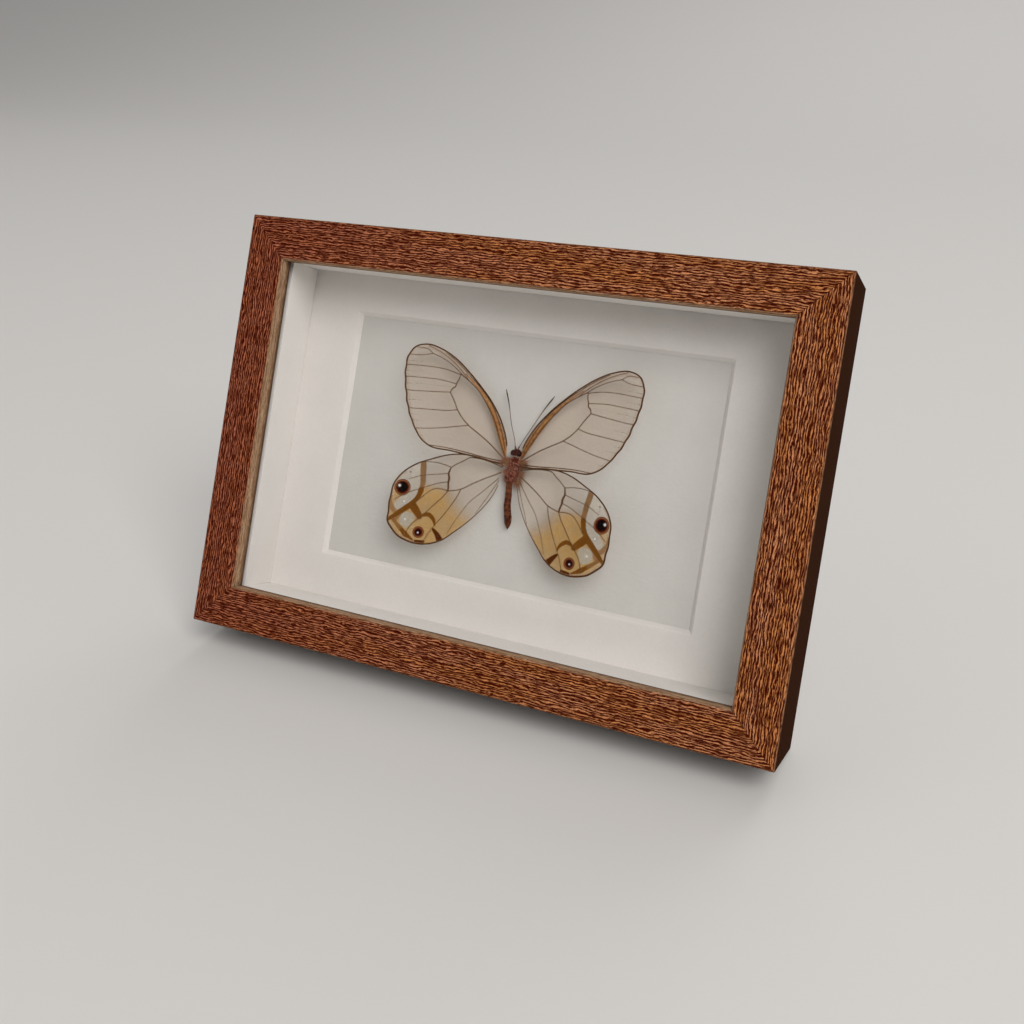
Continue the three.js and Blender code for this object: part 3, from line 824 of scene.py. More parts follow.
print("the forewing's tip lies", round(wing_rise("fore", 34, 28), 1), "mm above the card")

# %% [markdown]
# The outline of a wing is one smooth closed line. Cut at four of its points it gives
# the root, the leading edge, the outer margin and the trailing edge.

# %% Cutting an outline into four edges
VEIN_STEP = 0.45
WAVE_DEPTH = 0.11
LEAD_IN = 3
FINE_POINTS = 6000


def evenly(line, count):
    """The same line with its points at equal distances."""
    length = way_along(line)
    t = np.linspace(0, length[-1], count)
    return np.stack([np.interp(t, length, line[:, k]) for k in range(line.shape[1])], 1)


def by_step(line):
    """The same line with a point every VEIN_STEP or so."""
    return evenly(line, max(4, int(way_along(line)[-1] / VEIN_STEP)))


def cut_outline(outline, corners, waves):
    """Edges between the corners, which are the outline's points of those numbers.

    The first few points are repeated at the end, and the last few at the start, so that the curve
    runs on smoothly where it closes. The outer margin swings out and in as many times as waves
    says, by WAVE_DEPTH, and is calm at both ends."""
    ring = np.array(outline[-LEAD_IN:] + outline + outline[:LEAD_IN + 1], float)
    fine = smooth_line(ring, FINE_POINTS)
    length = way_along(ring)
    spot = np.round(length / length[-1] * (len(fine) - 1)).astype(int)
    base, shoulder, apex, rear = (spot[LEAD_IN + corner] for corner in corners)
    around = spot[LEAD_IN + len(outline) + corners[0]]
    outer = fine[apex:rear + 1][::-1]
    t = np.linspace(0, 1, len(outer))[:, None]
    ahead = np.gradient(outer, axis=0)
    away = np.stack([ahead[:, 1], -ahead[:, 0]], 1) / np.linalg.norm(ahead, axis=1)[:, None]
    outer = outer + WAVE_DEPTH * np.sin(np.pi * t) * np.cos(2 * np.pi * waves * t) * away
    return {
        "root": fine[base:shoulder + 1], "leading": fine[shoulder:apex + 1],
        "outer": outer, "trailing": fine[rear:around + 1][::-1],
    }


print("edges are cut from", FINE_POINTS, "points")

# %% [markdown]
# The forewing in numbers: points as millimetres out and up, and for each vein also its
# half widths from root to tip. A strong vein runs behind the leading edge, a cross vein
# closes the cell in the middle of the wing, and the branches run on from there to the
# margin. The folds are faint creases of the membrane between them.

# %% Outline and veins of the forewing
FORE_OUTLINE = [
    (2.4, 0.4), (2.2, 2.9), (2.45, 5.1), (4.5, 10.2), (8.7, 16.2), (12.6, 20.2), (17.2, 24.2),
    (21.4, 27.2), (25.6, 29.2), (30.2, 30.1), (33.5, 29.0), (35.2, 26.1), (35.3, 22.2), (34.1, 16.2),
    (32.4, 11.1), (29.6, 6.2), (26.9, 3.1), (24.2, 1.6), (18.2, 1.2), (10.1, 0.6), (5.5, 0.1),
]
FORE_EDGES = cut_outline(FORE_OUTLINE, (0, 2, 10, 16), 7)
FORE_VEINS = {
    "radius": (
        [(2.3, 1.9), (4.7, 6.5), (7.3, 11.6), (10.7, 16.2), (13.6, 19.4), (16.7, 21.6), (19.2, 23.1)],
        (0.17, 0.13),
    ),
    "radius_tip": ([(18.6, 22.8), (21.2, 24.7), (23.9, 26.2), (26.8, 27.3), (28.3, 27.7)], (0.11, 0.09)),
    "tip_upper": ([(28.3, 27.7), (29.8, 28.7), (33.1, 28.9)], (0.09, 0.07)),
    "tip_lower": ([(28.3, 27.7), (30.8, 26.9), (34.8, 26.5)], (0.09, 0.07)),
    "under_edge": (
        [
            (2.7, 3.8), (4.4, 8.2), (6.3, 12.0), (8.7, 15.7), (12.2, 19.4), (16.4, 22.9), (20.6, 26.1),
            (24.6, 28.5),
        ],
        (0.12, 0.11, 0.10, 0.08),
    ),
    "between": ([(16.2, 21.3), (20.2, 24.9), (23.8, 27.3), (27.3, 28.9), (29.8, 29.7)], (0.09, 0.07)),
    "cell_end": (
        [(19.2, 23.1), (19.4, 21.5), (19.9, 20.1), (20.0, 19.3), (20.7, 18.7), (21.2, 17.5)],
        (0.09, 0.14, 0.16, 0.18, 0.12),
    ),
    "upper_branch": ([(19.4, 22.9), (23.3, 23.7), (27.7, 23.9), (32.2, 23.7), (35.3, 23.5)], (0.10, 0.08)),
    "middle_branch": (
        [(20.0, 20.1), (22.5, 20.4), (25.2, 20.6), (28.7, 20.5), (32.2, 20.3), (35.0, 20.1)],
        (0.10, 0.08),
    ),
    "lower_branch": ([(21.2, 17.5), (24.7, 17.1), (28.7, 16.7), (31.6, 16.4), (34.1, 16.3)], (0.11, 0.08)),
    "main_stem": (
        [(3.0, 1.7), (7.6, 5.1), (11.1, 7.2), (14.4, 9.1), (18.2, 12.9), (19.5, 15.1), (21.2, 17.5)],
        (0.15, 0.14, 0.12),
    ),
    "first_rib": ([(18.2, 12.9), (20.7, 12.3), (24.7, 11.9), (28.6, 11.6), (32.3, 11.3)], (0.11, 0.08)),
    "second_rib": ([(14.4, 9.0), (17.7, 8.2), (21.2, 7.3), (25.1, 6.5), (29.2, 5.9)], (0.11, 0.08)),
    "rear_vein": ([(2.5, 0.6), (8.1, 0.9), (14.1, 1.5), (20.1, 1.85), (24.4, 1.8)], (0.16, 0.08)),
}
FORE_FOLDS = [
    [(21.4, 19.1), (26.2, 18.8), (30.7, 18.6), (34.3, 18.2)], [(28.2, 14.1), (32.9, 13.7)],
    [(27.6, 8.3), (30.5, 8.1)], [(30.4, 24.9), (35.0, 24.7)], [(30.9, 22.0), (35.0, 21.8)],
    [(29.6, 9.8), (31.4, 9.7)], [(26.0, 4.3), (27.4, 4.1)],
]
print("forewing:", len(FORE_OUTLINE), "outline points,", len(FORE_VEINS), "veins")

# %% [markdown]
# The hindwing is shorter and rounder, and its cross vein is the thickest of all. Its
# brown bands are given in the same way as the veins, only wider: a long one crosses
# the wing, and short ones lead from it round the eyespots.

# %% Outline and veins of the hindwing
HIND_OUTLINE = [
    (3.0, -6.1), (2.7, -2.8), (2.6, -0.6), (5.0, 0.0), (8.6, 0.5), (12.1, 0.8), (15.1, 0.7), (18.7, -0.1),
    (23.2, -2.0), (27.1, -4.0), (30.3, -6.7), (32.2, -9.5), (32.9, -13.1), (32.8, -17.5), (32.4, -21.1),
    (30.9, -23.1), (28.1, -25.0), (23.3, -26.1), (18.8, -25.4), (15.8, -23.9), (12.9, -21.2), (8.7, -16.7),
    (6.0, -13.0), (4.1, -9.6),
]
HIND_EDGES = cut_outline(HIND_OUTLINE, (0, 2, 10, 17), 5)
HIND_VEINS = {
    "front_stem": (
        [(2.9, -0.9), (7.6, 0.1), (10.2, 0.3), (12.5, 0.1), (14.1, -1.1), (15.6, -2.1), (17.2, -3.4)],
        (0.14, 0.11),
    ),
    "front_branch": ([(17.2, -3.4), (19.9, -2.9), (22.8, -2.8), (25.0, -3.1)], (0.10, 0.08)),
    "cell_end": (
        [
            (17.2, -3.4), (17.5, -4.6), (17.6, -5.3), (17.2, -6.5), (17.2, -7.8), (16.9, -9.1),
            (16.8, -10.1),
        ],
        (0.17, 0.27, 0.33, 0.28, 0.24),
    ),
    "upper_branch": (
        [(17.6, -5.2), (19.9, -5.8), (23.0, -6.5), (25.0, -7.0), (27.4, -8.1), (28.5, -8.6)],
        (0.09, 0.07),
    ),
    "middle_branch": (
        [
            (17.3, -7.6), (19.6, -8.3), (22.1, -9.4), (24.0, -10.4), (27.8, -12.3), (30.1, -13.8),
            (31.8, -15.2),
        ],
        (0.09, 0.07),
    ),
    "lower_branch": (
        [(16.8, -10.1), (18.8, -9.9), (20.8, -10.2), (22.3, -11.3), (23.8, -13.0), (25.1, -14.4)],
        (0.12, 0.09),
    ),
    "first_rib": (
        [
            (16.8, -10.2), (17.9, -12.0), (19.5, -14.1), (21.2, -16.3), (22.3, -17.7), (24.0, -19.6),
            (25.4, -21.4), (26.6, -24.6),
        ],
        (0.12, 0.09),
    ),
    "main_stem": (
        [
            (2.9, -2.5), (4.2, -3.3), (7.2, -5.0), (10.3, -7.0), (13.2, -9.0), (15.1, -9.7),
            (16.8, -10.1),
        ],
        (0.14, 0.12),
    ),
    "second_rib": (
        [
            (13.2, -9.0), (13.7, -10.9), (14.8, -13.4), (16.1, -16.1), (17.5, -18.5), (19.5, -21.9),
            (20.9, -25.2),
        ],
        (0.11, 0.09),
    ),
    "rear_vein": (
        [(3.2, -4.2), (7.1, -8.8), (10.0, -12.1), (11.9, -15.5), (13.5, -18.9), (14.7, -22.0)],
        (0.075, 0.055),
    ),
    "last_vein": ([(3.0, -4.8), (5.4, -10.1), (6.7, -12.7), (7.8, -15.0)], (0.06, 0.04)),
}
BANDS = {
    "upper": (
        [(25.2, -3.8), (25.0, -5.2), (24.7, -7.0), (24.5, -8.6), (24.4, -10.0), (24.5, -11.5)],
        (0.85, 0.86, 0.80, 0.80, 0.72, 0.78),
    ),
    "long": (
        [
            (24.5, -11.0), (24.9, -12.9), (25.7, -14.4), (26.7, -15.7), (28.0, -16.9), (29.3, -18.1),
            (30.6, -19.3), (32.2, -20.8),
        ],
        (0.78, 0.72, 0.70, 0.85, 0.82, 0.72, 0.60, 0.45),
    ),
    "wedge": ([(26.2, -15.7), (24.7, -17.1), (23.3, -18.5)], (1.15, 1.10, 0.85)),
    "arc": (
        [(22.2, -17.9), (21.0, -17.5), (20.0, -18.0), (19.1, -18.8), (18.6, -20.0)],
        (0.50, 0.60, 0.60, 0.50, 0.28),
    ),
    "stub": ([(18.7, -21.4), (17.4, -22.7), (16.3, -24.1)], (0.40, 0.72, 0.95)),
    "under": ([(31.2, -20.3), (29.7, -21.6), (28.1, -22.8)], (0.50, 0.48, 0.70)),
    "corner": ([(27.7, -23.1), (26.5, -24.0), (25.2, -24.7), (24.0, -25.3)], (0.55, 0.80, 0.45, 0.25)),
    "foot": ([(20.9, -25.3), (23.2, -25.5)], (0.42, 0.36)),
}
PALER_BANDS = [
    ([(28.7, -17.8), (29.9, -19.3), (30.5, -20.4)], (0.70, 1.10, 0.80)),
    ([(32.6, -14.2), (32.4, -16.5), (31.5, -17.8), (30.6, -18.7)], (0.20, 0.48, 0.72, 0.60)),
    ([(24.1, -17.8), (23.9, -19.6)], (0.55, 0.10)),
]
print("hindwing:", len(HIND_VEINS), "veins,", len(BANDS), "brown bands")

# %% [markdown]
# A clearwing has almost no scales: the membrane is bare and lets the paper show
# through, and only the veins, the margins and the spots are brown. So the finish is a
# mix of a see-through shader and a matt one, and the share of the matt one says how
# many scales there are. Where things are, the wing itself carries: each of its points
# knows its distance in millimetres to the nearest vein, band or spot. The finish
# turns these distances into edges, which stay sharp however close one looks.

# %% Finish of the wings
VEIN_BROWN = (0.110, 0.047, 0.015)
BAND_BROWN = (0.215, 0.078, 0.008)
BAND_DARK = (0.105, 0.024, 0.002)
BAND_PALE = (0.40, 0.215, 0.085)
BAND_UPPER = (0.32, 0.165, 0.060)
BAND_UNDER = (0.31, 0.150, 0.042)
EDGE_RUST = (0.30, 0.12, 0.035)
STREAK_AMBER = (0.58, 0.280, 0.086)
STREAK_BROWN = (0.36, 0.145, 0.045)
APEX_SMOKE = (0.42, 0.30, 0.21)
FOLD_BROWN = (0.24, 0.15, 0.085)
TINGE_BROWN = (0.44, 0.29, 0.17)
FORE_RIM = (0.56, 0.34, 0.17)
HIND_RIM = (0.60, 0.36, 0.17)
MEMBRANE_TINT = (0.42, 0.35, 0.255)
FORE_MEMBRANE = (0.47, 0.40, 0.31)
HIND_MEMBRANE = (0.47, 0.42, 0.35)
FORE_CLEAR = (0.997, 0.965, 0.938)
HIND_CLEAR = (1.0, 0.973, 0.949)
DUST = (0.72, 0.70, 0.68)
OCHRE = (0.72, 0.432, 0.112)
PALE_GREY = (0.74, 0.70, 0.60)
PALE_LOWER = (0.66, 0.60, 0.47)
PALE_DOT = (0.90, 0.88, 0.84)
HALO = (0.76, 0.74, 0.68)
RING_RED = (0.13, 0.028, 0.010)
RING_RUST = (0.32, 0.125, 0.055)
RING_MAROON = (0.065, 0.008, 0.003)
SPOT_BLACK = (0.006, 0.003, 0.003)
SMALL_RED = (0.14, 0.032, 0.012)
SMALL_RUST = (0.25, 0.085, 0.035)
PUPIL_GREY = (0.16, 0.13, 0.12)
PUPIL_WHITE = (0.85, 0.83, 0.81)
PUPIL_ROSE = (0.80, 0.66, 0.64)
HIND_MARKS = [  # value, softness of its edge in mm, colour, share of the matt shader
    ("band_pale", 0.30, BAND_PALE, 0.72),
    ("band_upper", 0.20, BAND_UPPER, 0.74),
    ("band_under", 0.20, BAND_UNDER, 0.78),
    ("band", 0.14, BAND_BROWN, 0.88),
    ("band_dark", 0.16, BAND_DARK, 0.90),
    ("pale_lower", 0.18, PALE_LOWER, 0.42),
]
SPOT_RINGS = {  # radius and softness in mm, colour
    "big_spot": [
        (2.32, 0.12, RING_RED), (2.12, 0.10, RING_RUST), (1.88, 0.10, RING_RED),
        (1.66, 0.14, RING_MAROON),
    ],
    "big_core": [(1.38, 0.14, SPOT_BLACK)],
    "big_pupil": [(0.55, 0.22, PUPIL_GREY), (0.36, 0.12, PUPIL_WHITE)],
    "small_spot": [
        (1.64, 0.10, SMALL_RED), (1.42, 0.12, SMALL_RUST), (1.14, 0.12, RING_MAROON),
        (0.70, 0.10, SPOT_BLACK),
    ],
    "small_pupil": [(0.27, 0.11, PUPIL_ROSE)],
}


def over(tree, mask, below, colour, share):
    """Lays one more kind of scale over what is below: (colour, share of the matt shader)."""
    seen = blend(tree, mask, below[0], colour)
    change = calc(tree, "SUBTRACT", share, below[1])
    return seen, calc(tree, "MULTIPLY_ADD", mask, change, below[1])


def wing_start(name):
    """The graph with a little waviness that the edges of all marks share."""
    material, tree, shader = new_finish(name, Roughness=0.6, Specular_IOR_Level=0.02)
    place = object_place(tree)
    ragged = calc(tree, "MULTIPLY", calc(tree, "SUBTRACT", noise(tree, place, 2600, 2.0), 0.5), 0.22)
    return material, tree, shader, place, ragged


def inside(tree, name, ragged, soft):
    """1 where the piece's distance of that name is below zero, with a ragged edge."""
    edge = calc(tree, "ADD", value_of(tree, name), ragged)
    return fade(tree, edge, -soft, soft, 1.0, 0.0)


def close_to(tree, name, full, none, share=1.0):
    """The share where the distance of that name is below full, falling to 0 where it reaches none."""
    return fade(tree, value_of(tree, name), full, none, share, 0.0)


def with_veins(tree, layers, ragged):
    """The brown veins, with a little rust beside them."""
    layers = over(tree, close_to(tree, "line", 0.0, 0.35, 0.35), layers, EDGE_RUST, 0.45)
    thread = inside(tree, "line", calc(tree, "MULTIPLY", ragged, 0.4), 0.06)
    return over(tree, thread, layers, VEIN_BROWN, 0.96)


def wing_end(tree, shader, layers, place, clear_tint):
    """Mixes the matt shader with the see-through one by the share that was worked out."""
    colour, share = layers
    dust = noise(tree, place, 5200, 2.0, 0.6)
    dusted = blend(tree, fade(tree, dust, 0.35, 0.65), colour, DUST, "MULTIPLY")
    paint(tree, shader, Base_Color=dusted, Normal=relief(tree, dust, 0.00002, 0.5))
    clear = add(tree, "BsdfTransparent", {"Color": clear_tint})
    mixed = add(tree, "MixShader", {0: share, 1: clear.outputs[0], 2: shader.outputs[0]})
    tree.links.new(mixed.outputs[0], tree.nodes["Material Output"].inputs["Surface"])


def forewing_finish():
    """Bare membrane, a smoky apex and rim, folds, the amber streak, veins."""
    material, tree, shader, place, ragged = wing_start("forewing_scales")
    cloud = noise(tree, place, 160, 3.0, 0.6)
    membrane = blend(tree, fade(tree, cloud, 0.35, 0.65), MEMBRANE_TINT, FORE_MEMBRANE)
    layers = (membrane, calc(tree, "MULTIPLY_ADD", cloud, 0.012, 0.008))
    apex = fade(tree, value_of(tree, "apex"), 0.0, 1.0, 0.0, 0.55)
    layers = over(tree, apex, layers, APEX_SMOKE, 0.11)
    layers = over(tree, close_to(tree, "rim", 0.2, 1.5, 0.75), layers, FORE_RIM, 0.20)
    layers = over(tree, inside(tree, "fold", ragged, 0.10), layers, FOLD_BROWN, 0.40)
    layers = over(tree, inside(tree, "tinge", ragged, 0.45), layers, TINGE_BROWN, 0.20)
    grain = noise(tree, place, 900, 3.0, 0.6)
    amber = blend(tree, fade(tree, grain, 0.38, 0.62), STREAK_BROWN, STREAK_AMBER)
    layers = over(tree, inside(tree, "streak", ragged, 0.22), layers, amber, 0.72)
    layers = with_veins(tree, layers, ragged)
    wing_end(tree, shader, layers, place, FORE_CLEAR)
    return material


def hindwing_finish():
    """Bare membrane, the ochre wash, pale cells, rim, bands, dots, veins, eyespots."""
    material, tree, shader, place, ragged = wing_start("hindwing_scales")
    cloud = noise(tree, place, 150, 3.0, 0.6)
    membrane = blend(tree, cloud, MEMBRANE_TINT, HIND_MEMBRANE)
    layers = (membrane, calc(tree, "MULTIPLY_ADD", cloud, 0.010, 0.004))
    wash = calc(tree, "MULTIPLY", value_of(tree, "wash"), fade(tree, cloud, 0.15, 0.6, 0.75, 1.0))
    layers = over(tree, wash, layers, OCHRE, 0.45)
    layers = over(tree, inside(tree, "pale", ragged, 0.16), layers, PALE_GREY, 0.32)
    layers = over(tree, close_to(tree, "rim", 0.2, 1.1, 0.8), layers, HIND_RIM, 0.34)
    for name, soft, colour, share in HIND_MARKS:
        layers = over(tree, inside(tree, name, ragged, soft), layers, colour, share)
    layers = over(tree, close_to(tree, "dots", 0.25, 1.0, 0.6), layers, HALO, 0.50)
    layers = over(tree, close_to(tree, "dots", 0.05, 0.38), layers, PALE_DOT, 0.95)
    layers = over(tree, close_to(tree, "speck", 0.1, 0.45, 0.75), layers, VEIN_BROWN, 0.7)
    layers = with_veins(tree, layers, ragged)
    for name, rings in SPOT_RINGS.items():
        for radius, soft, colour in rings:
            away = calc(tree, "MULTIPLY_ADD", ragged, 0.5, value_of(tree, name))
            disc = fade(tree, away, radius - soft, radius + soft, 1.0, 0.0)
            layers = over(tree, disc, layers, colour, 0.99)
    wing_end(tree, shader, layers, place, HIND_CLEAR)
    return material


forewing_scales = forewing_finish()
hindwing_scales = hindwing_finish()
print("wing finishes:", forewing_scales.name, hindwing_scales.name)

# %% [markdown]
# A grid is stretched between the four edges, so that its outermost points lie exactly
# on them: across and along it mixes opposite sides, and takes off what the corners
# added twice. The membrane is that grid twice, a hair's breadth apart, and hangs a
# little between the veins. Each vein is a round tube along its line.

# %% Building a wing
WING_ALONG = 210
WING_ACROSS = 120
SAG = 0.14
THINNER = 0.78
HOLLOW_WIDTH = 1.8
FAR_AWAY = 9.0
IN_THE_VEIN = -0.2
VEIN_POINTS = 200


def stretched_grid(edges, along, across):
    """Mixes trailing with leading edge, adds root mixed with outer margin, takes off the corners."""
    u = np.linspace(0, 1, along)[:, None, None]
    v = np.linspace(0, 1, across)[None, :, None]
    leading, trailing = evenly(edges["leading"], along)[:, None], evenly(edges["trailing"], along)[:, None]
    root, outer = evenly(edges["root"], across)[None], evenly(edges["outer"], across)[None]
    sides = (1 - v) * trailing + v * leading + (1 - u) * root + u * outer
    root_corners = (1 - v) * root[:, :1] + v * root[:, -1:]
    outer_corners = (1 - v) * outer[:, :1] + v * outer[:, -1:]
    return sides - ((1 - u) * root_corners + u * outer_corners)


def vein_line(points):
    """A vein or band as a smooth line with a point every VEIN_STEP or so."""
    return by_step(smooth_line(points, VEIN_POINTS))


def nearest(flat, lines):
    """Shortest distance to any of several (points, half widths)."""
    return np.min([line_distance(flat, vein_line(points), widths) for points, widths in lines], axis=0)


def closed_sheet(top, bottom, values):
    """Two grids as one closed skin: the lower one is turned over and a strip joins their rims."""
    rows, columns = top.shape[:2]
    upper = grid_faces(rows, columns)
    lower = grid_faces(rows, columns, first=rows * columns)[:, ::-1]
    index = np.arange(rows * columns).reshape(rows, columns)
    rim = np.concatenate([index[:-1, 0], index[-1, :-1], index[:0:-1, -1], index[0, :0:-1]])
    ahead = np.roll(rim, -1)
    strip = np.stack([ahead, rim, rim + rows * columns, ahead + rows * columns], 1)
    points = np.concatenate([top.reshape(-1, 3), bottom.reshape(-1, 3)])
    return points, [upper, lower, strip], {name: np.tile(v.ravel(), 2) for name, v in values.items()}


def build_wing(kind, side, edges, veins, margin, values_of, finish, name, node):
    """The membrane with a tube for each vein and margin, joined as one piece."""
    flat = stretched_grid(edges, WING_ALONG, WING_ACROSS)
    lines = [(vein_line(points), THINNER * np.array(widths)) for points, widths in veins.values()]
    lines += [(by_step(edges[edge]), np.array(widths)) for edge, widths in margin.items()]
    line = np.min([line_distance(flat, path, widths) for path, widths in lines], axis=0)
    hollow = np.clip(line / HOLLOW_WIDTH, 0, 1)
    drop = -SAG * hollow**2 * (3 - 2 * hollow)
    values = {"line": line, **values_of(flat)}
    top = wing_place(kind, side, flat, drop + MEMBRANE / 2)
    bottom = wing_place(kind, side, flat, drop - MEMBRANE / 2)
    shapes = [closed_sheet(top, bottom, values)]
    distances = [word for word in values if word not in ("line", "wash", "apex")]
    for path, widths in lines:
        points, faces, _ = tube(wing_place(kind, side, path), drawn_out(widths, len(path)))
        on_vein = {word: np.full(len(points), FAR_AWAY) for word in distances}
        on_vein["line"] = np.full(len(points), IN_THE_VEIN)
        shapes.append((points, faces, on_vein))
    outward = [(points, facing_out(points, faces), numbers) for points, faces, numbers in shapes]
    points, faces, values = join_shapes(outward)
    return make_piece(name, points, faces, finish, replaces=[node], values=values)


print("a wing's grid:", WING_ALONG, "by", WING_ACROSS, "points on each side")

# %% [markdown]
# What a wing's points know about their place. On the forewing these are the amber
# streak behind the leading edge, the faint folds, the smoky apex and the way to the
# outer margin. The hindwing adds the ochre wash, the brown bands, the pale cells
# between them, and the way to the middle of each eyespot. The real animal's two sides
# are nearly alike, so the left wings are the right ones mirrored.

# %% The four wings
FORE_MARGIN = {
    "leading": (0.18, 0.23, 0.22, 0.20, 0.19, 0.18),
    "outer": (0.19, 0.22, 0.23, 0.21),
    "trailing": (0.24, 0.20, 0.17, 0.20),
}
HIND_MARGIN = {
    "leading": (0.16, 0.16, 0.17, 0.19),
    "outer": (0.24, 0.25, 0.22, 0.19),
    "trailing": (0.08, 0.10, 0.15, 0.23),
}
STREAK = (
    [(2.6, 3.0), (4.1, 6.6), (5.6, 9.6), (7.9, 13.3), (11.0, 17.4), (14.6, 20.8), (17.6, 23.2)],
    (0.75, 0.95, 0.95, 0.72, 0.48, 0.36, 0.2),
)
APEX = (34.0, 28.5)
APEX_REACH = 9
TINGE = (
    [(17.4, 23.0), (21.0, 25.9), (25.0, 28.0), (29.5, 29.2), (32.5, 28.6)],
    (0.45, 0.75, 0.85, 0.70, 0.40),
)
WHITE_DOTS = [(28.75, -15.1), (27.4, -20.0)]
DARK_SPECK = (28.5, -6.6)
PALE_CELLS = [
    (
        [(26.9, -5.6), (26.6, -9.0), (26.9, -12.4), (28.4, -14.7), (30.2, -16.4)],
        (1.2, 1.9, 1.9, 1.75, 1.25),
    ),
    ([(26.1, -19.4), (27.4, -19.3), (27.7, -20.5), (26.7, -21.0)], (1.40, 1.38, 1.32, 1.22)),
]
WASH_ROOT = (3.0, -3.0)
SPOT_PLACES = {
    "big_spot": (29.95, -11.3), "big_core": (29.95, -11.2), "big_pupil": (30.9, -10.9),
    "small_spot": (22.8, -22.9), "small_pupil": (22.9, -23.05),
}


def away_from(flat, spot):
    """How far each point lies from one spot."""
    return np.linalg.norm(flat - np.array(spot), axis=-1)


def ramp(value, start, end):
    """A smooth step from 0 to 1."""
    t = np.clip((value - start) / (end - start), 0, 1)
    return t * t * (3 - 2 * t)


def forewing_values(flat):
    """What the finish of the forewing needs, at each point of the grid."""
    return {
        "rim": line_distance(flat, by_step(FORE_EDGES["outer"])),
        "fold": nearest(flat, [(points, (0.04, 0.09)) for points in FORE_FOLDS]),
        "streak": line_distance(flat, vein_line(STREAK[0]), STREAK[1]),
        "tinge": line_distance(flat, vein_line(TINGE[0]), TINGE[1]),
        "apex": np.clip(1 - away_from(flat, APEX) / APEX_REACH, 0, 1),
    }


def hindwing_values(flat):
    """What the finish of the hindwing needs, at each point of the grid."""
    values = {
        "rim": line_distance(flat, by_step(HIND_EDGES["outer"])),
        "wash": ramp(away_from(flat, WASH_ROOT), 11.5, 18.5) * ramp(-flat[..., 1], 8.2, 11.0),
        "pale": nearest(flat, PALE_CELLS[:1]),
        "pale_lower": nearest(flat, PALE_CELLS[1:]),
        "band": nearest(flat, [BANDS[name] for name in ("long", "corner", "wedge", "arc")]),
        "band_under": nearest(flat, [BANDS["under"]]),
        "band_upper": nearest(flat, [BANDS["upper"]]),
        "band_dark": nearest(flat, [BANDS[name] for name in ("stub", "foot")]),
        "band_pale": nearest(flat, PALER_BANDS),
        "dots": np.min([away_from(flat, dot) for dot in WHITE_DOTS], axis=0),
        "speck": away_from(flat, DARK_SPECK),
    }
    values.update({name: away_from(flat, spot) for name, spot in SPOT_PLACES.items()})
    return values


for wing_side, side_word in ((-1, "left"), (1, "right")):
    build_wing("fore", wing_side, FORE_EDGES, FORE_VEINS, FORE_MARGIN, forewing_values,
               forewing_scales, f"wing_fore_{side_word}", f"forewing_{side_word}")
    build_wing("hind", wing_side, HIND_EDGES, HIND_VEINS, HIND_MARGIN, hindwing_values,
               hindwing_scales, f"wing_hind_{side_word}", f"hindwing_{side_word}")

# %% [markdown]
# The body is one shape turned round a line: a radius for each place along it, from the
# tip of the abdomen to the face. The abdomen is ringed, the rings being shallow waves
# in the radius, and it bends and droops a little as a dried one does. Fine cuticle
# needs a waxy, uneven brown.

# %% Body
BODY_PROFILE = [
    (-17.9, 0.02), (-17.4, 0.32), (-16.6, 0.76), (-15.6, 0.99), (-13.0, 1.04), (-10.5, 0.98),
    (-8.0, 0.92), (-5.0, 0.92), (-4.2, 1.04), (-2.9, 1.38), (-0.8, 1.5), (0.7, 1.42), (1.8, 1.06),
    (2.15, 0.88), (2.6, 1.15), (3.6, 1.2), (4.5, 0.85), (4.8, 0.02),
]
BODY_LINE = [
    (-18.0, 1.06), (-17.2, 0.95), (-14.6, 0.7), (-11.4, 0.08), (-8.2, -0.05), (-5.0, -0.3),
    (-2.5, 0.15), (0.0, 0.5), (2.5, 0.5), (5.1, 0.45),
]
BODY_RISE = 2.3
RING_EVERY = 1.55
BODY_ROWS = 300
BODY_SIDES = 56
AXIS_POINTS = 300
PROFILE_POINTS = 400
THORAX_DARK = (0.045, 0.008, 0.004)
THORAX_BROWN = (0.19, 0.050, 0.022)
ABDOMEN_DARK = (0.034, 0.007, 0.003)
ABDOMEN_BROWN = (0.180, 0.053, 0.018)
SEAM_DARK = (0.024, 0.006, 0.004)
HEAD_DARK = (0.050, 0.010, 0.006)


def body_axis(y):
    """The middle line: it sways sideways as BODY_LINE says, and the abdomen droops."""
    line = smooth_line(BODY_LINE, AXIS_POINTS)
    past = np.clip((-4.0 - y) / 13.0, 0, 1)
    return np.interp(y, line[:, 0], line[:, 1]), BODY_RISE - 0.55 * past**2


def body_point(y, angle, radius):
    """Point = middle line + radius x (cos a to the side, 0.92 sin a upwards)."""
    centre_x, rise = body_axis(y)
    return np.stack([
        centre_x + radius * np.cos(angle), MIDDLE_Y + y, CARD_Z + rise + 0.92 * radius * np.sin(angle),
    ], -1)


def body_radius(y):
    """The profile, with rings on the abdomen: each ring swells and then drops to the next."""
    line = smooth_line(BODY_PROFILE, PROFILE_POINTS)
    radius = np.interp(y, line[:, 0], np.maximum(line[:, 1], 0.01))
    on_abdomen = np.clip((-5.0 - y) / 1.0, 0, 1)
    phase = (y / RING_EVERY) % 1.0
    return radius * (1 + on_abdomen * (0.07 * phase**0.6 - 0.05))


